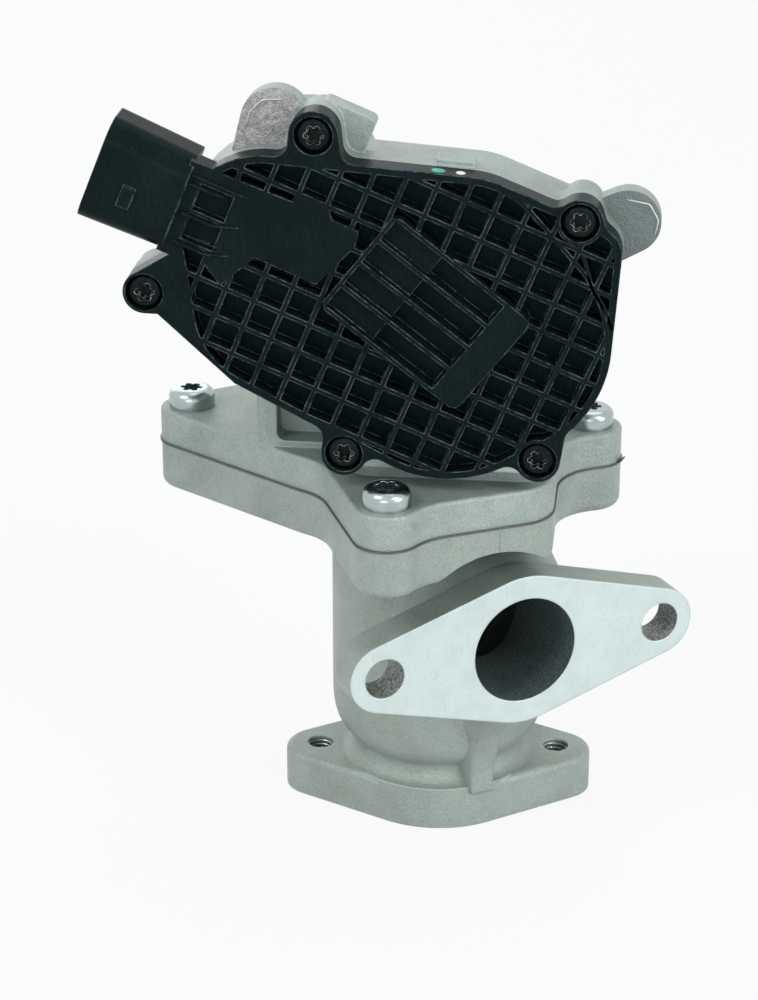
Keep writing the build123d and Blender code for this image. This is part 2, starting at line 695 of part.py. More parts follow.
def intermediate_gear():
    """Compound gear: large wheel driven by the motor, small pinion driving the sector."""
    to_motor = degrees(atan2(MOTOR_Z - MIDDLE_Z, MOTOR_X - MIDDLE_X))
    to_output = degrees(atan2(OUTPUT_Z - MIDDLE_Z, OUTPUT_X - MIDDLE_X))
    large = toothed_face(FIRST_MODULE, LARGE_TEETH, to_motor, LARGE_TEETH)
    half_step = 180 / SMALL_TEETH
    small = toothed_face(SECOND_MODULE, SMALL_TEETH, to_output + half_step, SMALL_TEETH)
    front = LARGE_GEAR_BACK_Y - LARGE_GEAR_THICK
    gear = slab(Pos(MIDDLE_X, MIDDLE_Z) * large, front, LARGE_GEAR_BACK_Y)
    gear += slab(Pos(MIDDLE_X, MIDDLE_Z) * small, GEAR_FRONT_Y, front)
    rim = FIRST_MODULE * LARGE_TEETH / 2 - 2.2
    groove = tube_y(MIDDLE_X, MIDDLE_Z, rim, rim - 3.0, front - 1, front + 1.2)
    bore = rod_y(MIDDLE_X, MIDDLE_Z, GEAR_PIN_R + RUNNING_GAP, GEAR_FRONT_Y - 1, 0)
    return gear - groove - bore


def gear_pin():
    """Fixed pin that carries the intermediate gear."""
    return rod_y(MIDDLE_X, MIDDLE_Z, GEAR_PIN_R, CASE_FRONT_Y + 0.4, GEAR_PIN_BACK_Y)


def motor_pinion():
    """Pinion on the motor shaft."""
    toward = degrees(atan2(MIDDLE_Z - MOTOR_Z, MIDDLE_X - MOTOR_X))
    half_step = 180 / PINION_TEETH
    face = toothed_face(FIRST_MODULE, PINION_TEETH, toward + half_step, PINION_TEETH)
    pinion = slab(Pos(MOTOR_X, MOTOR_Z) * face, PINION_FRONT_Y, LARGE_GEAR_BACK_Y)
    return pinion - rod_y(MOTOR_X, MOTOR_Z, MOTOR_SHAFT_R, PINION_FRONT_Y - 1, 0)


# ---------------------------------------------------------------- motor
def motor_can():
    """Drawn steel can, open towards the gear case."""
    back = MOTOR_FRONT_Y + MOTOR_CAN_LENGTH
    can = rod_y(MOTOR_X, MOTOR_Z, MOTOR_CAN_R, MOTOR_FRONT_Y, back)
    inner = MOTOR_CAN_R - MOTOR_CAN_WALL
    can -= rod_y(MOTOR_X, MOTOR_Z, inner, MOTOR_FRONT_Y - 1, back - MOTOR_CAN_WALL)
    can += rod_y(MOTOR_X, MOTOR_Z, MOTOR_BUSH_R + 1, back - 4, back - MOTOR_CAN_WALL)
    return can - rod_y(MOTOR_X, MOTOR_Z, MOTOR_BUSH_R, back - 5, back - MOTOR_CAN_WALL)


def motor_bushes():
    """Front and rear bushes of the motor shaft."""
    inner = MOTOR_SHAFT_R + RUNNING_GAP
    back = MOTOR_FRONT_Y + MOTOR_CAN_LENGTH - MOTOR_CAN_WALL
    front_bush = tube_y(MOTOR_X, MOTOR_Z, MOTOR_BUSH_R, inner, FLOOR_Y, FLOOR_Y + 3)
    rear_bush = tube_y(MOTOR_X, MOTOR_Z, MOTOR_BUSH_R, inner, back - 3, back)
    return group(front_bush, rear_bush)


def motor_end_plate():
    """Flange that closes the can and holds the front bush and the two screws."""
    plate_back = FLOOR_Y + MOTOR_FLANGE_THICK
    end = slab(motor_flange_outline(), FLOOR_Y, plate_back)
    end += rod_y(MOTOR_X, MOTOR_Z, MOTOR_BUSH_R + 1.2, plate_back, FLOOR_Y + 3)
    end -= rod_y(MOTOR_X, MOTOR_Z, MOTOR_BUSH_R, FLOOR_Y - 1, FLOOR_Y + 4)
    for x, z in motor_screw_points():
        end -= rod_y(x, z, MOTOR_SCREW_R, FLOOR_Y - 1, plate_back + 1)
        end -= rod_y(x, z, MOTOR_SCREW_HEAD_R, FLOOR_Y - 1, FLOOR_Y + MOTOR_HEAD_SINK)
    return end


def motor_flange_outline():
    """Round flange with an ear for each screw."""
    ears = [(x, z, MOTOR_EAR_R) for x, z in motor_screw_points()]
    return hull([(MOTOR_X, MOTOR_Z, MOTOR_CAN_R), *ears])


def motor_screw_points():
    """Screw centres, on a line across the direction to the intermediate gear."""
    across, up = MIDDLE_X - MOTOR_X, MIDDLE_Z - MOTOR_Z
    scale = MOTOR_SCREW_OFFSET / hypot(across, up)
    return [(MOTOR_X + side * up * scale, MOTOR_Z - side * across * scale) for side in (-1, 1)]


def motor_screws():
    """Two flat screws that hold the motor to the case floor."""
    screws = []
    for x, z in motor_screw_points():
        head = rod_y(x, z, MOTOR_SCREW_HEAD_R, FLOOR_Y, FLOOR_Y + MOTOR_HEAD_SINK)
        screws.append(head + rod_y(x, z, MOTOR_SCREW_R, FLOOR_Y, FLOOR_Y + 5))
    return group(*screws)


def motor_magnets():
    """Two curved magnets on the wall of the can."""
    outer = MOTOR_CAN_R - MOTOR_CAN_WALL
    ring = Circle(outer) - Circle(outer - MAGNET_THICK)
    ring -= Rectangle(2 * outer + 2, 9)
    return group(slab(Pos(MOTOR_X, MOTOR_Z) * ring, ARMATURE_Y - 1, ARMATURE_Y + ARMATURE_LENGTH + 1))


def armature():
    """Slotted core on the motor shaft."""
    core = Circle(ARMATURE_R) - Circle(MOTOR_SHAFT_R)
    for index in range(ARMATURE_SLOTS):
        turn = Rot(0, 0, index * 360 / ARMATURE_SLOTS)
        core -= turn * Pos(ARMATURE_R - 2.2, 0) * Circle(2.0)
        core -= turn * Pos(ARMATURE_R, 0) * Rectangle(3, 1.4)
    return slab(Pos(MOTOR_X, MOTOR_Z) * core, ARMATURE_Y, ARMATURE_Y + ARMATURE_LENGTH)


def commutator():
    """Copper drum that the brushes run on."""
    return tube_y(MOTOR_X, MOTOR_Z, COMMUTATOR_R, MOTOR_SHAFT_R, COMMUTATOR_Y, COMMUTATOR_Y + 5)


def motor_shaft():
    """Shaft of the motor, from the pinion to the rear bush."""
    back = MOTOR_FRONT_Y + MOTOR_CAN_LENGTH - MOTOR_CAN_WALL - 0.5
    return rod_y(MOTOR_X, MOTOR_Z, MOTOR_SHAFT_R, PINION_FRONT_Y - 0.6, back)


def brush_holder():
    """Insulating ring with two brush boxes."""
    outer = MOTOR_CAN_R - MOTOR_CAN_WALL
    ring = Circle(outer) - Circle(COMMUTATOR_R + 1.5)
    ring -= Rectangle(2 * BRUSH_END, BRUSH_SIZE)
    return slab(Pos(MOTOR_X, MOTOR_Z) * ring, COMMUTATOR_Y, COMMUTATOR_Y + 4)


def motor_brushes():
    """Two carbon brushes."""
    length = BRUSH_END - COMMUTATOR_R - CONTACT_GAP
    middle = COMMUTATOR_R + CONTACT_GAP + length / 2
    blocks = []
    for side in (-1, 1):
        face = Pos(MOTOR_X + side * middle, MOTOR_Z) * Rectangle(length, BRUSH_SIZE)
        blocks.append(slab(face, COMMUTATOR_Y, COMMUTATOR_Y + 4))
    return group(*blocks)


# ---------------------------------------------------------------- actuator housing
def pedestal():
    """Cast column between the foot and the gear case."""
    low, high = FOOT_TOP_Z - 1, BOSSES[3][0][1] + 3
    front = CASE_FRONT_Y + 2.5
    corner_r = 6.0
    rounds = [
        (-11.0, front + corner_r, corner_r), (19.5, front + corner_r + 0.5, corner_r + 0.5),
        (17.5, 4.0, 9.0), (-8.0, 6.0, 9.0),
    ]
    column = plate(hull(rounds), low, high)
    wing_low_x, wing_high_x = -38.0, -15.0
    wing = Pos((wing_low_x + wing_high_x) / 2, -8.0) * RectangleRounded(
        wing_high_x - wing_low_x, 30.0, 3.0)
    column += plate(wing, low, 113.0)
    window = Pos(-26.6, FOOT_TOP_Z + 7.4) * RectangleRounded(13.6, 12.0, 2.0)
    return column - slab(window, -30.0, WINDOW_BACK_Y)


def lug(centre, radius, root):
    """Cast lug beside the case rim."""
    face = hull([(*centre, radius), root])
    solid = slab(face, LUG_FRONT_Y, LUG_FRONT_Y + LUG_THICK)
    return fillet(solid.edges().group_by(Axis.Y)[-1], 1.2)


def case_shell():
    """Rim, walls and boss columns of the gear case, before it is hollowed."""
    rim = slab(cover_outline() + sole_outline(), CASE_FRONT_Y, CASE_FRONT_Y + RIM_DEPTH)
    walls = slab(hull([*COVER_ROUNDS, CORNER_ROUND], -0.5), CASE_FRONT_Y + 1, CASE_BACK_Y)
    walls = fillet(walls.edges().group_by(Axis.Y)[-1], CASE_EDGE)
    sole = slab(sole_outline(), CASE_FRONT_Y + 1, CASE_BACK_Y)
    shell = rim + walls + sole
    for x, z in boss_points():
        shell += rod_y(x, z, 4.2, CASE_FRONT_Y + 1, CASE_FRONT_Y + RIM_DEPTH + 5)
    return shell


def cam_chamber(grow, y_front, y_back, low):
    """Round-topped chamber around the cam and the stem."""
    half = CHAMBER_HALF_X + grow
    middle = (low + OUTPUT_Z) / 2
    face = Pos(OUTPUT_X, OUTPUT_Z) * Circle(half)
    face += Pos(OUTPUT_X, middle) * Rectangle(2 * half, OUTPUT_Z - low)
    return slab(face, y_front, y_back)


def top_pad():
    """Sloped casting pad beside the upper lug and the low pad on the rim."""
    turn = Rot(0, 0, -RIB_TURN)
    block = Pos(-18.6, 163.0) * turn * RectangleRounded(11.5, 16.0, 1.2)
    pad = slab(block, LUG_FRONT_Y, LUG_FRONT_Y + 5)
    low_pad = Pos(5.6, 159.2) * Rot(0, 0, -4) * Rectangle(7.6, 4.2)
    return pad + slab(low_pad, CASE_FRONT_Y + 1.2, CASE_FRONT_Y + RIM_DEPTH)


def housing_cavities():
    """Gear case, motor barrel, cam chamber and every hole of the housing."""
    cut = slab(case_cavity(), CASE_FRONT_Y - 1, FLOOR_Y)
    groove = hull([*COVER_ROUNDS, CAVITY_CORNER], -SEAL_OUTER_INSET)
    groove -= hull([*COVER_ROUNDS, CAVITY_CORNER], -SEAL_OUTER_INSET - SEAL_WIDTH)
    cut += slab(groove, CASE_FRONT_Y - 1, CASE_FRONT_Y + SEAL_DEPTH)
    cut += cam_chamber(0, CHAMBER_FRONT_Y, CHAMBER_BACK_Y, FOOT_TOP_Z)
    back = CHAMBER_BACK_Y + CHAMBER_WALL
    cut += rod_y(OUTPUT_X, OUTPUT_Z, CHAMBER_HALF_X - 0.5, CHAMBER_BACK_Y - 1, back + 1)
    cut += rod_y(OUTPUT_X, OUTPUT_Z, CAP_R, back - CAP_THICK / 2, back + 1)
    cut += rod_y(OUTPUT_X, OUTPUT_Z, SHAFT_BUSH_R, FLOOR_Y - 1, CHAMBER_FRONT_Y + 1)
    cut += rod_z(0, 0, SPRING_WELL_R, FOOT_Z - 1, FOOT_TOP_Z + 1)
    cut += rod_y(MOTOR_X, MOTOR_Z, MOTOR_CAN_R, FLOOR_Y - 1, BARREL_END_Y)
    cut += slab(motor_flange_outline(), FLOOR_Y - 1, FLOOR_Y + MOTOR_FLANGE_THICK)
    cut += rod_y(MIDDLE_X, MIDDLE_Z, GEAR_PIN_R, FLOOR_Y - 1, GEAR_PIN_BACK_Y)
    for x, z in motor_screw_points():
        cut += rod_y(x, z, MOTOR_SCREW_R, FLOOR_Y - 1, FLOOR_Y + 5)
    for x, z in boss_points():
        cut += rod_y(x, z, COVER_SCREW_R, CASE_FRONT_Y - 1, COVER_SCREW_END_Y + 0.5)
    for x, y in lobe_points():
        cut += rod_z(x, y, FOOT_SCREW_R, FOOT_Z - 1, FOOT_TOP_Z + 1)
    return cut


def actuator_housing():
    """Casting with foot, pedestal, gear case, cam chamber, motor barrel and lugs."""
    foot = plate(foot_outline(), FOOT_Z, FOOT_TOP_Z)
    foot = fillet(foot.edges().group_by(Axis.Z)[-1], 0.8)
    housing = foot + pedestal() + case_shell() + top_pad()
    chamber_back = CHAMBER_BACK_Y + CHAMBER_WALL
    housing += cam_chamber(CHAMBER_WALL, CASE_BACK_Y - 1, chamber_back, FOOT_TOP_Z - 1)
    barrel_r = MOTOR_CAN_R + BARREL_WALL
    housing += rod_y(MOTOR_X, MOTOR_Z, barrel_r, CASE_BACK_Y - 1, BARREL_END_Y + BARREL_WALL)
    housing += rod_y(MIDDLE_X, MIDDLE_Z, GEAR_PIN_R + 3, CASE_BACK_Y - 1, GEAR_PIN_BACK_Y + 1.5)
    housing += lug((-30.9, 167.4), 7.0, (-33.0, 155.0, 8.0))
    housing += lug((40.2, 149.0), 6.6, (33.0, 145.5, 7.0))
    return housing - housing_cavities()


# ---------------------------------------------------------------- gear cover
def sloped(face):
    """Place a face drawn in the rib grid's own directions."""
    return grid_frame() * face


def terminal_plate():
    """Flat raised field between the connector and the block."""
    points = (
        (-45.0, -14.9), (-25.0, -14.3), (-24.9, -12.1), (-18.1, -11.9), (-16.6, -14.5),
        (-10.6, -14.6), (-10.2, -18.0), (-14.4, -28.4), (-27.8, -28.3), (-32.0, -36.6),
        (-37.3, -33.4), (-35.0, -29.6), (-45.0, -31.0),
    )
    return sloped(make_face(Polyline(*points, close=True)))


def block_frame():
    """Frame of the raised block: local X along its pockets."""
    return Pos(*BLOCK_CENTRE) * Rot(0, 0, -BLOCK_TURN)


def block_outline():
    """Outline of the raised block."""
    return block_frame() * RectangleRounded(BLOCK_LENGTH, BLOCK_WIDTH, 2.0)


def block_pockets():
    """Long pockets of the raised block, deeper towards the end bar."""
    pitch = (BLOCK_WIDTH - BLOCK_WALL) / BLOCK_POCKETS
    length = BLOCK_LENGTH - BLOCK_END_BAR - BLOCK_WALL
    left = -BLOCK_LENGTH / 2 + BLOCK_WALL
    cuts = Part()
    front = COVER_FRONT_Y - BLOCK_RISE
    for index in range(BLOCK_POCKETS):
        across = -BLOCK_WIDTH / 2 + BLOCK_WALL / 2 + pitch * (index + 0.5)
        long_face = Pos(left + length / 2, across) * Rectangle(length, pitch - BLOCK_WALL)
        cuts += slab(block_frame() * long_face, front - 1, front + 2.2)
        deep = length - BLOCK_STEP
        deep_face = Pos(left + BLOCK_STEP + deep / 2, across) * Rectangle(deep, pitch - BLOCK_WALL)
        cuts += slab(block_frame() * deep_face, front - 1, front + 4.2)
    return cuts


def rib_strips():
    """Both families of ribs as one face."""
    reach = 13
    length = 2 * reach * RIB_PITCH
    strips = Sketch()
    for index in range(-reach, reach + 1):
        strips += Pos(0, index * RIB_PITCH) * Rectangle(length, RIB_THICK)
        strips += Pos(index * RIB_PITCH, 0) * Rectangle(RIB_THICK, length)
    return sloped(strips)


def collar_discs(extra):
    """Discs around the cover screws."""
    discs = Sketch()
    for x, z in boss_points():
        discs += Pos(x, z) * Circle(COVER_HEAD_R + MATE_GAP + extra)
    return discs


def rib_pockets():
    """Every pocket between the ribs, the rim, the bosses, the plate and the block."""
    field = hull(COVER_ROUNDS, -COVER_RIM)
    corner = hull([*COVER_ROUNDS, CORNER_ROUND], -COVER_RIM) - hull(COVER_ROUNDS, -0.6)
    field += corner
    solid_parts = terminal_plate() + block_outline() + collar_discs(COLLAR_WALL)
    field -= solid_parts
    return slab(field - rib_strips(), COVER_FRONT_Y - 1, CASE_FRONT_Y - COVER_SKIN)


def shroud_plane(distance):
    """Plane across the connector at a distance from its root: local X across, local Y back."""
    turn = radians(RIB_TURN)
    along = Vector(-cos(turn), 0, sin(turn))
    across = Vector(sin(turn), 0, cos(turn))
    node = Vector(RIB_NODE[0], SHROUD_FRONT_Y + SHROUD_DEPTH / 2, RIB_NODE[1])
    origin = node + along * (distance - SHROUD_ROOT[0]) + across * SHROUD_ROOT[1]
    return Plane(origin=origin, x_dir=across, z_dir=along)


def shroud_section(distance, inset):
    """Rounded section of the connector shroud."""
    grow = (SHROUD_MOUTH_WIDTH - SHROUD_ROOT_WIDTH) * distance / SHROUD_LENGTH
    width = SHROUD_ROOT_WIDTH + grow - 2 * inset
    corner = SHROUD_CORNER - inset
    return shroud_plane(distance) * RectangleRounded(width, SHROUD_DEPTH - 2 * inset, corner)


def connector_shroud():
    """Shroud around the terminals, with its latch and the neck to the cover."""
    shroud = loft([shroud_section(SHROUD_SETOFF, 0), shroud_section(SHROUD_LENGTH, 0)])
    floor = SHROUD_LENGTH - SOCKET_DEPTH
    shroud -= loft([shroud_section(floor, SHROUD_WALL), shroud_section(SHROUD_LENGTH + 0.01, SHROUD_WALL)])
    latch = sloped(Pos(-56.0, -26.8) * Rectangle(2.6, 4.4))
    shroud += slab(latch, SHROUD_FRONT_Y - 0.9, SHROUD_FRONT_Y + 1)
    neck = sloped(Pos(-40.5, -24.8) * Rectangle(12.4, 20.2))
    shroud += slab(neck, COVER_FRONT_Y, CASE_FRONT_Y)
    return shroud


def neck_pockets():
    """Recesses with fins at the root of the connector."""
    cuts = Part()
    for low, high in ((-30.6, -24.9), (-24.1, -18.4)):
        face = sloped(Pos(-39.6, (low + high) / 2) * Rectangle(7.0, high - low))
        cuts += slab(face, COVER_FRONT_Y - 1, COVER_FRONT_Y + 2.4)
    return cuts


def pin_faces():
    """Section of each terminal."""
    faces = []
    for index in range(PIN_COUNT):
        across = (index - (PIN_COUNT - 1) / 2) * PIN_PITCH
        faces.append(Pos(across, 0) * Rectangle(PIN_SIZE, PIN_SIZE))
    return faces


def connector_pins():
    """Terminals standing in the socket."""
    floor = SHROUD_LENGTH - SOCKET_DEPTH
    pins = [extrude(shroud_plane(floor - PIN_ROOT) * face, PIN_ROOT + PIN_REACH) for face in pin_faces()]
    return group(*pins)


def gear_cover():
    """Moulded cover with egg-crate ribs, raised block, screw collars and connector."""
    cover = slab(cover_outline(), COVER_FRONT_Y, CASE_FRONT_Y)
    cover += connector_shroud()
    cover -= rib_pockets()
    cover -= neck_pockets()
    cover += slab(block_outline(), COVER_FRONT_Y - BLOCK_RISE, COVER_FRONT_Y + 1)
    cover -= block_pockets()
    lip = case_cavity(-MATE_GAP / 2) - case_cavity(-MATE_GAP / 2 - 1.2)
    cover += slab(lip, CASE_FRONT_Y - 0.5, CASE_FRONT_Y + COVER_LIP)
    cover += tube_y(MIDDLE_X, MIDDLE_Z, GEAR_PIN_R + 2, GEAR_PIN_R, CASE_FRONT_Y - 0.5, GEAR_FRONT_Y - 0.8)
    for x, z in boss_points():
        cover -= rod_y(x, z, COVER_HEAD_R + MATE_GAP, COVER_FRONT_Y - 1, COVER_HEAD_SEAT_Y)
        cover -= rod_y(x, z, COVER_SCREW_R + 0.15, COVER_FRONT_Y - 1, CASE_FRONT_Y + 1)
    floor = SHROUD_LENGTH - SOCKET_DEPTH
    for face in pin_faces():
        cover -= extrude(shroud_plane(floor - PIN_ROOT) * face, PIN_ROOT + 1)
    return cover


def sensor_board():
    """Small circuit board with the position chip over the magnet."""
    board = slab(Pos(OUTPUT_X, OUTPUT_Z) * Rectangle(22.0, 13.0), CASE_FRONT_Y, CASE_FRONT_Y + 1.2)
    chip_face = Pos(OUTPUT_X, OUTPUT_Z) * Rectangle(6.0, 5.0)
    chip_back = HUB_FRONT_Y - MAGNET_PROUD - 0.4
    return board + slab(chip_face, CASE_FRONT_Y + 1.2, chip_back)


def cover_seal():
    """Rubber cord in the groove of the case rim."""
    ring = hull([*COVER_ROUNDS, CAVITY_CORNER], -SEAL_OUTER_INSET - 0.1)
    ring -= hull([*COVER_ROUNDS, CAVITY_CORNER], -SEAL_OUTER_INSET - SEAL_WIDTH + 0.1)
    return slab(ring, CASE_FRONT_Y, CASE_FRONT_Y + SEAL_DEPTH)


def body_gasket():
    """Sheet gasket between the two castings, a little proud of them."""
    sheet = foot_outline(GASKET_PROUD) - Circle(SPRING_WELL_R)
    for x, y in lobe_points():
        sheet -= Pos(x, y) * Circle(FOOT_SCREW_R)
    return plate(sheet, BODY_TOP_Z, FOOT_Z)


# ---------------------------------------------------------------- fasteners
def star_recess(size):
    """Six-lobed socket outline."""
    face = Circle(size * 0.72)
    for index in range(6):
        face += Rot(0, 0, index * 60) * Pos(size * 0.72, 0) * Circle(size * 0.28)
    return face


def pan_screw(head_r, head_height, shank_r, length, socket):
    """Pan-head screw standing on its head plane at Z = 0, shank downwards."""
    head = extrude(Circle(head_r), head_height)
    head = fillet(head.edges().group_by(Axis.Z)[-1], head_height * 0.45)
    head -= extrude(Pos(0, 0, head_height * 0.35) * star_recess(socket), head_height)
    return head + extrude(Circle(shank_r), -length)


def foot_screws():
    """Plated screws of the foot."""
    screw = pan_screw(FOOT_HEAD_R, FOOT_HEAD_HEIGHT, FOOT_SCREW_R, FOOT_SCREW_LENGTH, 2.5)
    return group(*[Pos(x, y, FOOT_TOP_Z) * screw for x, y in lobe_points()])


def cover_screws():
    """Screws of the gear cover."""
    screw = pan_screw(COVER_HEAD_R, COVER_HEAD_HEIGHT, COVER_SCREW_R, COVER_SCREW_LENGTH, 2.0)
    facing = Rot(90, 0, 0)
    return group(*[Pos(x, COVER_HEAD_SEAT_Y, z) * facing * screw for x, z in boss_points()])


NODES = {
    "valve_body": valve_body,
    "valve_seat": valve_seat,
    "valve_head": valve_head,
    "valve_stem": valve_stem,
    "stem_bush": stem_bush,
    "stem_seal": stem_seal,
    "spring_seat": spring_seat,
    "return_spring": return_spring,
    "spring_retainer": spring_retainer,
    "stem_fork": stem_fork,
    "roller_pin": roller_pin,
    "cam_roller": cam_roller,
    "lift_cam": lift_cam,
    "output_shaft": output_shaft,
    "shaft_bush": shaft_bush,
    "rear_bearing": rear_bearing,
    "rear_cap": rear_cap,
    "output_gear": output_gear,
    "sensor_magnet": sensor_magnet,
    "intermediate_gear": intermediate_gear,
    "gear_pin": gear_pin,
    "motor_pinion": motor_pinion,
    "motor_can": motor_can,
    "motor_bushes": motor_bushes,
    "motor_end_plate": motor_end_plate,
    "motor_screws": motor_screws,
    "motor_magnets": motor_magnets,
    "armature": armature,
    "commutator": commutator,
    "motor_shaft": motor_shaft,
    "brush_holder": brush_holder,
    "motor_brushes": motor_brushes,
    "actuator_housing": actuator_housing,
    "gear_cover": gear_cover,
    "connector_pins": connector_pins,
    "sensor_board": sensor_board,
    "cover_seal": cover_seal,
    "body_gasket": body_gasket,
    "foot_screws": foot_screws,
    "cover_screws": cover_screws,
}


def main():
    """Build every node and write it as its own STEP file."""
    os.makedirs("parts", exist_ok=True)
    for name, build in NODES.items():
        export_step(build(), f"parts/{name}.step")


if __name__ == "__main__":
    main()
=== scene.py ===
"""Exhaust-gas recirculation valve: finishes, cast detail, studio and camera.

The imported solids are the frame. This script dresses them with procedural finishes,
adds the small cast and moulded forms and the spring as numpy surfaces, and sets the studio.
Lengths are in metres in the part's own frame: +Z up, the gear cover faces -Y.
"""
from __future__ import annotations

import logging
import math
from dataclasses import dataclass
from enum import Enum
from typing import Sequence

import bmesh
import bpy
import numpy as np
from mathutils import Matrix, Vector

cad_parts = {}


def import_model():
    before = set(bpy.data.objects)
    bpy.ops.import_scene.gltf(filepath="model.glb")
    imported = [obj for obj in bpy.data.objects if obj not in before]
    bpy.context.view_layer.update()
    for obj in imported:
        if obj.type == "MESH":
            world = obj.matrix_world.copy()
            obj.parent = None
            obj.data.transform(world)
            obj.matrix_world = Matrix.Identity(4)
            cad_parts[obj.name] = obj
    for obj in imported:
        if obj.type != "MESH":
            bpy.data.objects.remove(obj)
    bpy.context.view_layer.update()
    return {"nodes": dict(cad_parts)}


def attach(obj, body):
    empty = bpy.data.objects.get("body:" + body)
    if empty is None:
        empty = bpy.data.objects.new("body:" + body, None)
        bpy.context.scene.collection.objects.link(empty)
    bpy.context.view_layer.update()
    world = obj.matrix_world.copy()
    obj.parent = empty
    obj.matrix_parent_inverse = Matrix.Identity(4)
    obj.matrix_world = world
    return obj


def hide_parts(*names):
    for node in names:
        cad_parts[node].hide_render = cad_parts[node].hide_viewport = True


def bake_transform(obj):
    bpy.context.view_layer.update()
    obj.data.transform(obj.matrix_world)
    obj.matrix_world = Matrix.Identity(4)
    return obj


LOG = logging.getLogger("valve")
MM = 0.001
FACING = 0.95  # least cosine between a face's normal and the wanted direction
RING_RATE = 9000.0  # tool marks along a drilled wall, radians per metre
STREAK_RATE = 30.0  # streaks on a drilled wall, radians per unit of noise
THREAD_STEPS = 36  # points in one turn of a thread
CREST_DEPTH = (-0.04, 0.5, 0.5, -0.04)  # thread section: millimetres in from the wall
CREST_RISE = (-0.36, -0.06, 0.06, 0.36)  # thread section: shares of the pitch
SOFTEN = (0.1, 0.24, 0.32, 0.24, 0.1)  # weights that turn corners into short arcs
BEAD_AROUND = 12  # points round a bead
BALL_AROUND = 24  # points round a dab of paint
BALL_RINGS = 11  # rings from its foot to its top
FRONT = (0.0, -1.0, 0.0)
UP = (0.0, 0.0, 1.0)
Pair = tuple[float, float]
Triple = tuple[float, float, float]  # x, y, z or red, green, blue
Socket = bpy.types.NodeSocket
Mesh = tuple[np.ndarray, list[list[int]]]  # vertices in metres, and faces


class Pattern(Enum):
    """Which texture carries a finish's relief."""

    GRAIN = "grain"
    TURNED = "turned"


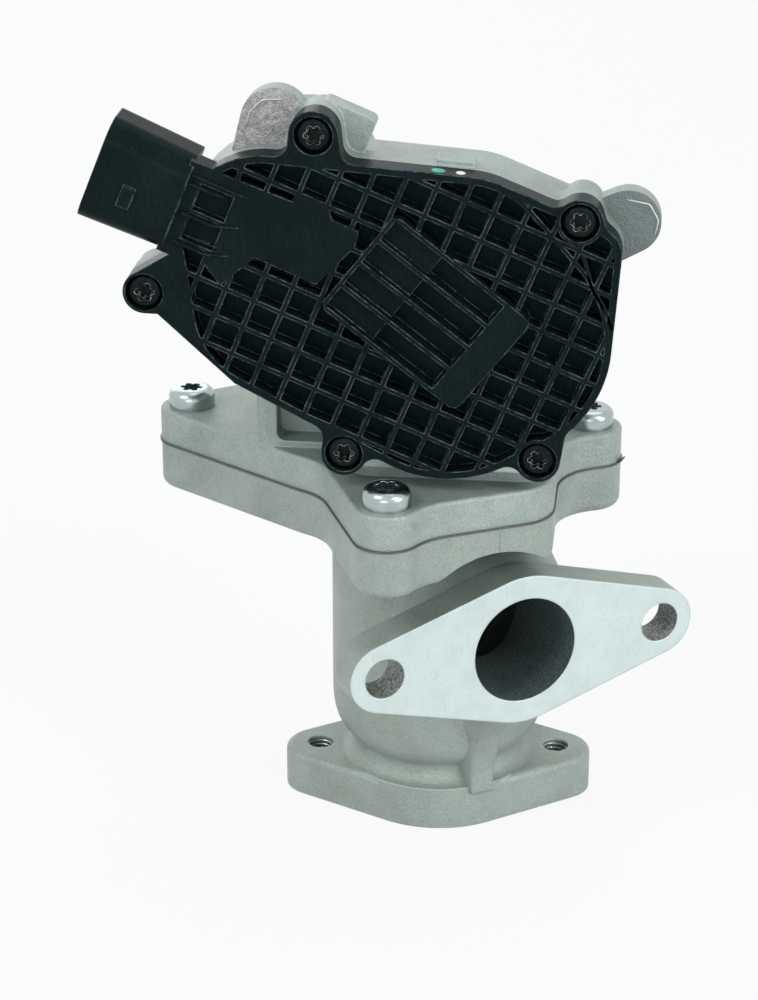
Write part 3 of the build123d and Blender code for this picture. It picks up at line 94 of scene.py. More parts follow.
# -------- node helpers
class Nodes:
    """Small wrapper that adds shader nodes to one material."""

    def __init__(self, name: str) -> None:
        """Starts an empty node material.

        Args:
            name: Name of the material.
        """
        self.material = bpy.data.materials.new(name)
        self.material.use_nodes = True
        self.tree = self.material.node_tree
        self.shader = self.tree.nodes["Principled BSDF"]
        self.coord = self.tree.nodes.new("ShaderNodeTexCoord").outputs["Object"]

    def add(self, kind: str, **settings: object) -> bpy.types.Node:
        """Adds a node.

        Args:
            kind: Node class without its ShaderNode prefix.
            settings: Properties and, where the name is a socket's, input values or links.

        Returns:
            The new node.
        """
        node = self.tree.nodes.new("ShaderNode" + kind)
        for key, value in settings.items():
            if hasattr(node, key):
                setattr(node, key, value)
        for key, value in settings.items():
            if not hasattr(node, key):
                self.feed(node.inputs[key.replace("_", " ")], value)
        return node

    def feed(self, socket: Socket, value: object) -> None:
        """Links a socket, or sets its value.

        Args:
            socket: Input socket.
            value: Output socket or constant.
        """
        if isinstance(value, Socket):
            self.tree.links.new(value, socket)
        else:
            socket.default_value = value

    def noise(self, size: float, detail: float = 3.0, rough: float = 0.55,
              vector: object = None) -> Socket:
        """Noise with features of about a size in metres.

        Args:
            size: Feature size.
            detail: Octaves.
            rough: Strength of the fine octaves.
            vector: Coordinates, the object's own by default.

        Returns:
            The factor output.
        """
        node = self.add("TexNoise", Scale=1.0 / size, Detail=detail, Roughness=rough)
        self.feed(node.inputs["Vector"], vector or self.coord)
        return node.outputs["Fac"]

    def math(self, operation: str, first: object, second: object = 0.0) -> Socket:
        """One Math node.

        Args:
            operation: Math operation.
            first: First operand.
            second: Second operand.

        Returns:
            The value output.
        """
        node = self.add("Math", operation=operation)
        self.feed(node.inputs[0], first)
        self.feed(node.inputs[1], second)
        return node.outputs["Value"]

    def vector(self, operation: str, first: object, second: object) -> Socket:
        """One Vector Math node.

        Args:
            operation: Vector Math operation.
            first: First operand.
            second: Second operand, or the factor of SCALE.

        Returns:
            The value output of a dot product or distance, otherwise the vector output.
        """
        node = self.add("VectorMath", operation=operation)
        self.feed(node.inputs[0], first)
        self.feed(node.inputs["Scale"] if operation == "SCALE" else node.inputs[1], second)
        return node.outputs["Value" if operation in ("DOT_PRODUCT", "DISTANCE") else "Vector"]

    def ramp(self, factor: object, low: float, high: float, start: float = 0.0,
             end: float = 1.0) -> Socket:
        """Linear map of a factor from low..high to start..end, clamped.

        Args:
            factor: Value to map.
            low: Factor that gives start.
            high: Factor that gives end.
            start: Result at low.
            end: Result at high.

        Returns:
            The mapped value.
        """
        node = self.add("MapRange", clamp=True)
        for index, value in enumerate((factor, low, high, start, end)):
            self.feed(node.inputs[index], value)
        return node.outputs["Result"]

    def mix(self, factor: object, first: object, second: object) -> Socket:
        """Mixes two colours.

        Args:
            factor: Weight of the second colour.
            first: First colour, or an output socket.
            second: Second colour, or an output socket.

        Returns:
            The colour output.
        """
        node = self.add("Mix", data_type="RGBA")
        self.feed(node.inputs["Factor"], factor)
        for socket, value in zip((node.inputs[6], node.inputs[7]), (first, second)):
            self.feed(socket, value if isinstance(value, Socket) else (*value, 1.0))
        return node.outputs[2]

    def rounded(self, radius: float) -> Socket:
        """Normal of edges blended over a radius, as a mould or a blasting leaves them.

        Args:
            radius: Blend radius in metres.

        Returns:
            The normal output.
        """
        return self.add("Bevel", samples=6, Radius=radius).outputs["Normal"]

    def edges(self, radius: float) -> Socket:
        """Mask of edges: 0 on flats, towards 1 where the rounded normal leaves the surface's own.

        Args:
            radius: Blend radius in metres.

        Returns:
            The mask.
        """
        own = self.add("NewGeometry").outputs["Normal"]
        return self.ramp(self.vector("DOT_PRODUCT", self.rounded(radius), own), 0.995, 0.8)

    def near_axis(self, point: Sequence[float], axis: Sequence[float], radius: float,
                  band: float) -> tuple[Socket, Socket]:
        """Mask of a bore's wall and the way along its axis.

        The point's offset from the axis point loses its share along the axis; what is left
        has the bore's radius on the wall. Walls behind the point are left out.

        Args:
            point: Point on the axis.
            axis: Unit direction of the axis.
            radius: Bore radius.
            band: Half thickness of the mask.

        Returns:
            The mask, and the distance along the axis.
        """
        offset = self.vector("SUBTRACT", self.coord, point)
        along = self.vector("DOT_PRODUCT", offset, axis)
        across = self.vector("DISTANCE", offset, self.vector("SCALE", axis, along))
        away = self.math("ABSOLUTE", self.math("SUBTRACT", across, radius))
        ahead = self.math("GREATER_THAN", along, 0.0)
        return self.math("MULTIPLY", self.math("LESS_THAN", away, band), ahead), along

    def height(self, *layers: tuple[Socket, float, float],
               base: Socket) -> None:
        """Stacks bump layers on a normal and gives the result to the shader.

        Args:
            layers: Height output, depth in metres and strength of each layer.
            base: Normal under the layers.
        """
        normal = base
        for source, depth, strength in layers:
            bump = self.add("Bump", Height=source, Distance=depth, Strength=strength)
            self.feed(bump.inputs["Normal"], normal)
            normal = bump.outputs["Normal"]
        self.feed(self.shader.inputs["Normal"], normal)

    def near_plane(self, normal: Sequence[float], distance: float, band: float) -> Socket:
        """Mask that is 1 on faces that lie on a plane and look along its normal, either way.

        Args:
            normal: Unit normal of the plane.
            distance: Distance of the plane from the origin.
            band: Half thickness of the mask.

        Returns:
            The mask.
        """
        level = self.vector("DOT_PRODUCT", self.coord, normal)
        away = self.math("ABSOLUTE", self.math("SUBTRACT", level, distance))
        facing = self.vector("DOT_PRODUCT", self.add("NewGeometry").outputs["True Normal"], normal)
        flat = self.math("GREATER_THAN", self.math("ABSOLUTE", facing), FACING)
        return self.math("MULTIPLY", self.math("LESS_THAN", away, band), flat)

    def near_point(self, point: Sequence[float], reach: float) -> Socket:
        """Mask that is 1 on faces turned to the front within a distance of a point.

        Args:
            point: Middle of the mask.
            reach: Its radius.

        Returns:
            The mask.
        """
        away = self.vector("DISTANCE", self.coord, point)
        facing = self.vector("DOT_PRODUCT", self.add("NewGeometry").outputs["True Normal"], FRONT)
        front = self.math("GREATER_THAN", facing, FACING)
        return self.math("MULTIPLY", self.math("LESS_THAN", away, reach), front)


# -------- finishes
@dataclass(frozen=True)
class Spot:
    """Front face around a point where a runner was broken off the casting."""

    point: Triple
    reach: float


@dataclass(frozen=True)
class Face:
    """One machined plane of a casting."""

    normal: Triple
    distance: float
    band: float = 0.00012


@dataclass(frozen=True)
class Bore:
    """One drilled or cored bore of a casting."""

    point: Triple
    axis: Triple
    radius: float
    band: float = 0.00025
    cored: bool = False


@dataclass(frozen=True)
class CastFinish:
    """Sand-blasted die casting with machined faces."""

    name: str
    colour: Triple = (0.40, 0.465, 0.425)
    shade: Triple = (0.24, 0.285, 0.255)
    machined: Triple = (0.63, 0.74, 0.72)
    # painted shade inside cored bores: a dark sandy pattern between these two colours
    shaded_sand_dark: Triple = (0.045, 0.07, 0.072)
    shaded_sand_light: Triple = (0.16, 0.225, 0.225)
    cut_dark: Triple = (0.15, 0.16, 0.145)
    cut_light: Triple = (0.42, 0.45, 0.42)
    raw_dark: Triple = (0.26, 0.262, 0.262)
    raw_light: Triple = (0.58, 0.56, 0.56)
    # painted shade on the broken-off face of the right lug
    raw_shaded_right: Triple = (0.17, 0.21, 0.205)
    brushed: Triple = (1.0, 1.0, 0.08)
    cloud: float = 0.016
    blot: float = 0.005
    grain: float = 0.0005
    speck: float = 0.00027
    weights: tuple[float, ...] = (0.35, 0.35, 0.2, 0.16)
    relief: float = 0.00016
    corner: float = 0.0006
    faces: tuple[Face, ...] = ()
    bores: tuple[Bore, ...] = ()
    broken: tuple[Spot, ...] = ()
    # share of painted highlight: edges go towards the machined colour
    edge_highlight_share: float = 0.6

    def build(self) -> bpy.types.Material:
        """Makes the material: mottled grey, pitted grain with bright flecks of painted glint, smooth machined
        faces.

        The tone is 0.35 of a large cloud, 0.35 of the fine grain, 0.2 of a middle blotch and
        0.16 of a random value per grain. Edges go towards the machined colour as a painted highlight.
        Cored bores are sandy and darkened by painted shade; drilled ones have streaks and rings of
        tool marks. Faces where a runner was broken off are coarse and neutral, with painted shade
        that darkens the one on the right.

        Returns:
            The material.
        """
        n = Nodes(self.name)
        cloud = n.noise(self.cloud, 3.0)
        blot = n.noise(self.blot, 3.0, 0.6)
        fine = n.noise(self.grain, 3.0, 0.65)
        cells = n.add("TexVoronoi", Scale=1.0 / self.speck)
        n.feed(cells.inputs["Vector"], n.coord)
        speck = n.math("MULTIPLY", cells.outputs["Color"], 1.0)
        tone: object = 0.0
        for layer, weight in zip((cloud, fine, blot, speck), self.weights):
            tone = n.math("ADD", tone, n.math("MULTIPLY", layer, weight))
        base = n.mix(n.ramp(tone, 0.38, 0.72), self.shade, self.colour)
        # bright flecks: lower roughness, and a painted glint that lightens their colour
        glint_fleck = n.math("GREATER_THAN", speck, 0.9)
        base = n.mix(n.math("MULTIPLY", glint_fleck, 0.18), base, self.machined)
        mask: object = 0.0
        for face in self.faces:
            mask = n.math("MAXIMUM", mask, n.near_plane(face.normal, face.distance, face.band))
        glint_and_wear = n.mix(n.ramp(blot, 0.35, 0.7), tuple(0.9 * c for c in self.machined), self.machined)
        brushed = n.vector("MULTIPLY", n.coord, self.brushed)
        scratch = n.ramp(n.noise(0.0004, 3.0, 0.7, brushed), 0.6, 0.72, 0.0, 0.3)
        pit = n.math("MULTIPLY", n.math("GREATER_THAN", n.noise(0.0009, 2.0, 0.6), 0.735), 0.6)
        glint_and_wear = n.mix(n.math("MAXIMUM", scratch, pit), glint_and_wear, self.shade)
        cored: object = 0.0
        drilled: object = 0.0
        rings: object = 0.5
        for bore in self.bores:
            wall, along = n.near_axis(bore.point, bore.axis, bore.radius, bore.band)
            if bore.cored:
                cored = n.math("MAXIMUM", cored, wall)
                continue
            drilled = n.math("MAXIMUM", drilled, wall)
            marks = n.math("SINE", n.math("MULTIPLY", along, RING_RATE))
            rings = n.math("ADD", rings, n.math("MULTIPLY", wall, marks))
        # painted highlight: edges go towards the machined colour
        base = n.mix(n.math("MULTIPLY", n.edges(self.corner), self.edge_highlight_share), base, self.machined)
        # painted shade: cored bores darkened, with a sandy pattern
        shaded_sand = n.mix(n.ramp(speck, 0.2, 0.9), self.shaded_sand_dark, self.shaded_sand_light)
        base = n.mix(n.math("MULTIPLY", cored, 0.9), base, shaded_sand)
        streaks = n.math("SINE", n.math("MULTIPLY", n.noise(0.0012, 2.0), STREAK_RATE))
        cut = n.mix(n.ramp(streaks, -0.6, 0.9), self.cut_dark, self.cut_light)
        base = n.mix(drilled, base, cut)
        snapped: object = 0.0
        for spot in self.broken:
            snapped = n.math("MAXIMUM", snapped, n.near_point(spot.point, spot.reach))
        across = n.add("SeparateXYZ")
        n.feed(across.inputs["Vector"], n.coord)
        coarse = n.noise(0.0011, 4.0, 0.75)
        raw = n.mix(n.ramp(coarse, 0.36, 0.66), self.raw_dark, self.raw_light)
        # painted shade: broken-off faces turn darker from x = 0 to 20 mm
        raw = n.mix(n.ramp(across.outputs["X"], 0.0, 0.02), raw, self.raw_shaded_right)
        base = n.mix(snapped, base, raw)
        n.feed(n.shader.inputs["Base Color"], n.mix(mask, base, glint_and_wear))
        n.shader.inputs["Metallic"].default_value = 0.3
        rough = n.math("SUBTRACT", n.ramp(fine, 0.3, 0.75, 0.38, 0.56), n.math("MULTIPLY", glint_fleck, 0.1))
        n.feed(n.shader.inputs["Roughness"], n.math("SUBTRACT", rough, n.math("MULTIPLY", mask, 0.08)))
        keep = n.math("SUBTRACT", 1.0, n.math("MULTIPLY", mask, 0.92))
        n.height((n.math("MULTIPLY", fine, keep), self.relief, 0.85),
                 (n.math("MULTIPLY", cells.outputs["Distance"], keep), self.relief * 0.6, 0.6),
                 (n.math("MULTIPLY", n.noise(0.0035, 2.0), keep), 0.00035, 0.4),
                 (n.math("MULTIPLY", coarse, snapped), 0.0006, 0.9),
                 (rings, 0.0001, 0.3), base=n.rounded(self.corner))
        return n.material


@dataclass(frozen=True)
class MouldedFinish:
    """Moulded plastic or rubber with a fine skin texture."""

    name: str
    colour: Triple
    light: Triple
    rough: float = 0.4
    grain: float = 0.0007
    relief: float = 0.00004
    gloss: float = 0.5
    tint: Triple = (1.0, 1.0, 1.0)
    ior: float = 1.45
    corner: float = 0.0004
    # colour of painted highlight on edges and of scattered bright flecks; None leaves them out
    glint_and_wear: Triple | None = None
    drawn: Triple = (1.0, 1.0, 0.35)

    def build(self) -> bpy.types.Material:
        """Makes the material: near-even colour, soft sheen, faint fibres and, with a glint colour, painted
        highlight and bright flecks.

        The colour follows the product of a large cloud and the fibres. Where there is a glint colour,
        it is painted highlight on the edges in patches, and it shows as scattered bright flecks, which on the
        black screws are painted sparkle.

        Returns:
            The material.
        """
        n = Nodes(self.name)
        fibre = n.noise(self.grain, 4.0, 0.65, n.vector("MULTIPLY", n.coord, self.drawn))
        cloud = n.noise(0.012, 3.0)
        base = n.mix(n.ramp(n.math("MULTIPLY", cloud, fibre), 0.15, 0.45), self.colour, self.light)
        if self.glint_and_wear is not None:
            # painted highlight: the glint colour on the edges, in patches
            glint = n.ramp(n.noise(0.0022, 3.0, 0.7), 0.42, 0.6, 0.1, 1.0)
            base = n.mix(n.math("MULTIPLY", n.edges(self.corner), glint), base, self.glint_and_wear)
            # scattered bright flecks of the glint colour
            bright_flecks = n.math("GREATER_THAN", n.noise(0.00045, 2.0, 0.8), 0.74)
            patch = n.ramp(n.noise(0.007, 2.0), 0.5, 0.62, 0.0, 0.5)
            base = n.mix(n.math("MULTIPLY", bright_flecks, patch), base, self.glint_and_wear)
        n.feed(n.shader.inputs["Base Color"], base)
        n.feed(n.shader.inputs["Roughness"], n.ramp(fibre, 0.25, 0.8, self.rough - 0.06, self.rough + 0.1))
        n.shader.inputs["Specular IOR Level"].default_value = self.gloss
        n.shader.inputs["Specular Tint"].default_value = (*self.tint, 1.0)
        n.shader.inputs["IOR"].default_value = self.ior
        n.height((fibre, self.relief, 0.6), (cloud, 0.0001, 0.25), base=n.rounded(self.corner))
        return n.material


@dataclass(frozen=True)
class MetalFinish:
    """Plated, turned or ground metal."""

    name: str
    colour: Triple
    rough: float = 0.28
    metallic: float = 1.0
    pattern: Pattern = Pattern.GRAIN
    relief: float = 0.00002
    corner: float = 0.0001

    def build(self) -> bpy.types.Material:
        """Makes the material: slight tarnish, and fine grain or rings of tool marks.

        Returns:
            The material.
        """
        n = Nodes(self.name)
        cloud = n.noise(0.003, 3.0)
        dull = tuple(c * 0.78 for c in self.colour)
        n.feed(n.shader.inputs["Base Color"], n.mix(n.ramp(cloud, 0.3, 0.7), dull, self.colour))
        n.shader.inputs["Metallic"].default_value = self.metallic
        n.feed(n.shader.inputs["Roughness"], n.ramp(cloud, 0.3, 0.75, self.rough - 0.05, self.rough + 0.12))
        if self.pattern is Pattern.TURNED:
            wave = n.add("TexWave", wave_type="RINGS", rings_direction="Z", Scale=900.0, Distortion=0.4)
            n.feed(wave.inputs["Vector"], n.coord)
            n.height((wave.outputs["Fac"], self.relief, 0.4), base=n.rounded(self.corner))
        else:
            n.height((n.noise(0.0004, 2.0), self.relief, 0.5), base=n.rounded(self.corner))
        return n.material


PORT_TURN = math.radians(31.0)
PORT_OUT = (math.sin(PORT_TURN), -math.cos(PORT_TURN), 0.0)
PORT_SIDE = (math.cos(PORT_TURN), math.sin(PORT_TURN), 0.0)
PORT_HEIGHT = 0.0531
PORT_FACE = 0.0421  # from the valve's axis to the port's flat face
PORT_BORE = 0.012  # radius
PORT_HOLE = 0.0045  # radius of a flange hole
PORT_HOLE_ACROSS = 0.0331  # from the port's axis to a flange hole
BODY_TOP = 0.0845
CASE_FOOT = 0.0849
CASE_FRONT = 0.0395  # from the valve's axis to the cover's seat
LEFT_BREAK = Spot((-0.0345, -0.0357, 0.1645), 0.0115)
RIGHT_BREAK = Spot((0.043, -0.0357, 0.149), 0.0115)


def port_point(across: float) -> Triple:
    """Point level with the port's axis, on the valve's axis or to one side of it.

    Args:
        across: Distance from the valve's axis, parallel to the port's face, in metres.

    Returns:
        The point in metres.
    """
    return (PORT_SIDE[0] * across, PORT_SIDE[1] * across, PORT_HEIGHT)


BODY_CAST = CastFinish("body_casting", faces=(
    Face(PORT_OUT, PORT_FACE), Face(UP, 0.0), Face(UP, BODY_TOP)), bores=(
    Bore(port_point(0.0), PORT_OUT, PORT_BORE, cored=True),
    *(Bore(port_point(side * PORT_HOLE_ACROSS), PORT_OUT, PORT_HOLE) for side in (-1.0, 1.0))))
CASE_CAST = CastFinish("case_casting", colour=(0.42, 0.50, 0.47),
                       faces=(Face(FRONT, CASE_FRONT), Face(UP, CASE_FOOT)), broken=(LEFT_BREAK, RIGHT_BREAK))
# the light colour given as worn here is painted highlight on the rib edges
BLACK_COVER = MouldedFinish("black_cover", (0.0048, 0.0092, 0.0098), (0.009, 0.0162, 0.017), 0.26, gloss=0.18,
                            tint=(0.6, 0.95, 1.0), ior=1.22, glint_and_wear=(0.17, 0.24, 0.25))
BLACK_RUBBER = MouldedFinish("black_rubber", (0.012, 0.012, 0.012), (0.03, 0.03, 0.03), 0.6)
GEAR_PLASTIC = MouldedFinish("gear_plastic", (0.60, 0.56, 0.44), (0.70, 0.66, 0.54), 0.45)
BOARD = MouldedFinish("board_lacquer", (0.02, 0.12, 0.05), (0.03, 0.17, 0.08), 0.35)
ZINC = MetalFinish("zinc_plate", (0.46, 0.53, 0.53), 0.2, corner=0.00025)
# the near-white colour given as worn here is painted highlight on the edges and painted sparkle
BLACK_SCREW = MouldedFinish("black_screw", (0.002, 0.0035, 0.0037), (0.007, 0.0105, 0.0105), 0.14,
                            grain=0.0009, relief=0.00045, gloss=0.16, tint=(0.7, 0.95, 1.0), corner=0.0003,
                            glint_and_wear=(0.62, 0.63, 0.60))
CUT_THREAD = MetalFinish("cut_thread", (0.50, 0.51, 0.49), 0.22)
GREEN_PAINT = MouldedFinish("green_paint", (0.03, 0.36, 0.24), (0.05, 0.45, 0.32), 0.4)
WHITE_PAINT = MouldedFinish("white_paint", (0.75, 0.78, 0.78), (0.85, 0.88, 0.88), 0.4)
BURR = MetalFinish("casting_burr", (0.62, 0.66, 0.65), 0.35, 0.6)
STAINLESS = MetalFinish("stainless", (0.42, 0.40, 0.37), 0.34, pattern=Pattern.TURNED)
HARD_STEEL = MetalFinish("hard_steel", (0.48, 0.49, 0.50), 0.22)
BRONZE = MetalFinish("bronze", (0.55, 0.37, 0.17), 0.36)
COPPER = MetalFinish("copper", (0.60, 0.28, 0.15), 0.34)
TIN = MetalFinish("tin", (0.75, 0.75, 0.72), 0.25)
MAGNET = MetalFinish("magnet", (0.10, 0.10, 0.11), 0.5, 0.7)
GASKET = MetalFinish("gasket_steel", (0.16, 0.165, 0.16), 0.42)

Finish = CastFinish | MouldedFinish | MetalFinish


@dataclass(frozen=True)
class Span:
    """Two bodies and two points along a piece that spans them; the piece is not made to follow them."""

    first: str
    second: str
    start: Triple
    end: Triple


class Dresser:
    """Gives finishes to nodes, and builds each material once."""

    def __init__(self, nodes: dict[str, bpy.types.Object]) -> None:
        """Keeps the frame's nodes.

        Args:
            nodes: CAD node objects by name.
        """
        self.nodes = nodes
        self.made: dict[str, bpy.types.Material] = {}

    def material(self, finish: Finish) -> bpy.types.Material:
        """The finish's material, built on first use.

        Args:
            finish: The finish.

        Returns:
            Its material.
        """
        if finish.name not in self.made:
            self.made[finish.name] = finish.build()
        return self.made[finish.name]

    def dress(self, finish: Finish, *names: str) -> None:
        """Assigns a finish to CAD nodes.

        Args:
            finish: The finish.
            names: Node names.
        """
        for name in names:
            for place in self.nodes[name].material_slots:
                place.material = self.material(finish)
            LOG.info("node %s: %s", name, finish.name)

    def piece(self, name: str, shape: Mesh, finish: Finish,
              body: str = "housing", smooth: bool = True,
              between: Span | None = None) -> bpy.types.Object:
        """Makes a new mesh piece that rides on a body.

        The faces are turned outwards by the sign of the enclosed volume.

        Args:
            name: Piece name.
            shape: Vertices in metres and faces.
            finish: Its finish.
            body: CAD body it moves with.
            smooth: Smooth shading.
            between: Two bodies that the piece spans; it is then left in place and rides on neither.

        Returns:
            The new object.
        """
        points, faces = shape
        mesh = bpy.data.meshes.new(name)
        mesh.from_pydata(points.tolist(), [], faces)
        mesh.validate()
        work = bmesh.new()
        work.from_mesh(mesh)
        if work.calc_volume(signed=True) < 0.0:
            bmesh.ops.reverse_faces(work, faces=work.faces)
        work.to_mesh(mesh)
        work.free()
        mesh.polygons.foreach_set("use_smooth", np.full(len(mesh.polygons), smooth))
        mesh.materials.append(self.material(finish))
        obj = bpy.data.objects.new(name, mesh)
        bpy.context.scene.collection.objects.link(obj)
        if between is None:
            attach(obj, body)
        else:
            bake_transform(obj)
        LOG.info("piece %s: %d faces", name, len(faces))
        return obj


# -------- surfaces
def unit(vectors: np.ndarray) -> np.ndarray:
    """Rows scaled to length one.

    Args:
        vectors: Array whose last axis is x, y, z.

    Returns:
        Array of the same shape.
    """
    return vectors / np.maximum(np.linalg.norm(vectors, axis=-1, keepdims=True), 1e-12)


def tube(points: np.ndarray) -> Mesh:
    """Closed tube through rings of points: quads between them and a cap on each end.

    Args:
        points: Rings by points in a ring by 3 array in millimetres.

    Returns:
        The mesh.
    """
    rings, around = points.shape[:2]
    ring, step = np.meshgrid(np.arange(rings - 1), np.arange(around), indexing="ij")
    after = (step + 1) % around
    quads = np.stack([ring * around + step, ring * around + after,
                      (ring + 1) * around + after, (ring + 1) * around + step], axis=-1)
    first = np.arange(around)[::-1]
    last = (rings - 1) * around + np.arange(around)
    return points.reshape(-1, 3) * MM, quads.reshape(-1, 4).tolist() + [first.tolist(), last.tolist()]


def curve(points: Sequence[Sequence[float]], count: int) -> np.ndarray:
    """Points evenly spread along a chain, rounded at its bends.

    The chain is sampled by its running length, then each sample is averaged with its
    neighbours, which turns corners into short arcs.

    Args:
        points: Corners in millimetres.
        count: Number of samples.

    Returns:
        Count by 3 array in millimetres.
    """
    chain = np.asarray(points, dtype=float)
    length = np.concatenate([[0.0], np.cumsum(np.linalg.norm(np.diff(chain, axis=0), axis=1))])
    along = np.linspace(0.0, length[-1], count)
    path = np.stack([np.interp(along, length, chain[:, axis]) for axis in range(3)], axis=1)
    padded = np.concatenate([2 * path[:1] - path[1:3][::-1], path, 2 * path[-1:] - path[-3:-1][::-1]])
    soft = np.stack([np.convolve(padded[:, axis], SOFTEN, "valid") for axis in range(3)], axis=1)
    soft[0], soft[-1] = path[0], path[-1]
    return soft


def ridge(path: np.ndarray, out: Sequence[float], width: float, height: float,
          taper: Pair = (0.12, 0.12)) -> Mesh:
    """Bead along a path: an oval section that shrinks towards both ends.

    Point = path + side * w(t) * cos(a) + out * h(t) * sin(a), where a runs round the oval,
    side stands square to the path and to out, and w and h fall nearly to zero over the tapers as
    the square root of the distance from the end.

    Args:
        path: N by 3 array in millimetres.
        out: Direction away from the carrying surface.
        width: Half width in millimetres.
        height: Height above the path in millimetres.
        taper: Shares of the length over which each end shrinks.

    Returns:
        The mesh.
    """
    outward = unit(np.asarray(out, dtype=float))
    side = unit(np.cross(np.gradient(path, axis=0), outward))
    t = np.linspace(0.0, 1.0, len(path))
    scale = np.sqrt(np.clip(np.minimum(t / taper[0], (1.0 - t) / taper[1]), 0.0004, 1.0))
    a = np.arange(BEAD_AROUND) * 2.0 * np.pi / BEAD_AROUND
    points = (path[:, None, :]
              + side[:, None, :] * (width * scale[:, None] * np.cos(a))[..., None]
              + outward * (height * scale[:, None] * np.sin(a))[..., None])
    return tube(points)


def strip(path: np.ndarray, out: Sequence[float], half: float, low: float, high: float) -> Mesh:
    """Upright wall along a path with a slightly narrower, bevelled top.

    Point = path + side * x + out * y for the corners (x, y) of the wall's section.

    Args:
        path: N by 3 array in millimetres.
        out: Direction in which the wall rises.
        half: Half thickness.
        low: Foot of the wall along out.
        high: Top of the wall along out.

    Returns:
        The mesh.
    """
    outward = unit(np.asarray(out, dtype=float))
    side = unit(np.cross(np.gradient(path, axis=0), outward))
    edge = min(0.35 * half, 0.15)
    x = np.array([-half, half, half, half - edge, -half + edge, -half])
    y = np.array([low, low, high - edge, high, high, high - edge])
    points = path[:, None, :] + side[:, None, :] * x[None, :, None] + outward * y[None, :, None]
    return tube(points)


def thread(centre: Pair, radius: float, low: float, high: float, pitch: float) -> Mesh:
    """Internal thread crest: a trapezoid wound on a helix inside a bore.

    Point = (centre + r(k) * (cos a, sin a), low + pitch * a / 2 pi + h(k)), where a runs along
    the winding and k round the section; the crest narrows at both ends.

    Args:
        centre: Bore centre in millimetres.
        radius: Bore radius.
        low: Start height.
        high: End height.
        pitch: Rise of one turn.

    Returns:
        The mesh.
    """
    turns = (high - low) / pitch
    count = int(turns * THREAD_STEPS)
    a = np.linspace(0.0, turns * 2.0 * np.pi, count)
    t = np.linspace(0.0, 1.0, count)
    scale = np.clip(np.minimum(t, 1.0 - t) * turns * 2.0, 0.05, 1.0)
    depth = np.array(CREST_DEPTH)
    rise = np.array(CREST_RISE) * pitch
    r = radius - depth[None, :] * scale[:, None]
    points = np.stack([centre[0] + r * np.cos(a)[:, None], centre[1] + r * np.sin(a)[:, None],
                       low + (pitch * a / (2.0 * np.pi))[:, None] + rise[None, :] * scale[:, None]], axis=-1)
    return tube(points)


def blob(centre: Sequence[float], axes: Sequence[Sequence[float]]) -> Mesh:
    """Squashed ball: centre + cos(b) * (cos(a) * u + sin(a) * v) + sin(b) * w.

    Args:
        centre: Middle in millimetres.
        axes: The three half axes u, v and w in millimetres.

    Returns:
        The mesh.
    """
    u, v, w = np.asarray(axes, dtype=float)
    a = np.arange(BALL_AROUND) * 2.0 * np.pi / BALL_AROUND
    b = np.linspace(-0.498 * np.pi, 0.498 * np.pi, BALL_RINGS)
    level = np.cos(b)[:, None, None]
    rim = np.cos(a)[None, :, None] * u + np.sin(a)[None, :, None] * v
    points = np.asarray(centre, dtype=float) + level * rim + np.sin(b)[:, None, None] * w
    return tube(points)


def joined(*meshes: Mesh) -> Mesh:
    """One mesh of several closed pieces.

    Args:
        meshes: Vertices and faces of each.

    Returns:
        The mesh.
    """
    points, faces, start = [], [], 0
    for vertices, indices in meshes:
        points.append(vertices)
        faces.extend([[start + index for index in face] for face in indices])
        start += len(vertices)
    return np.concatenate(points), faces


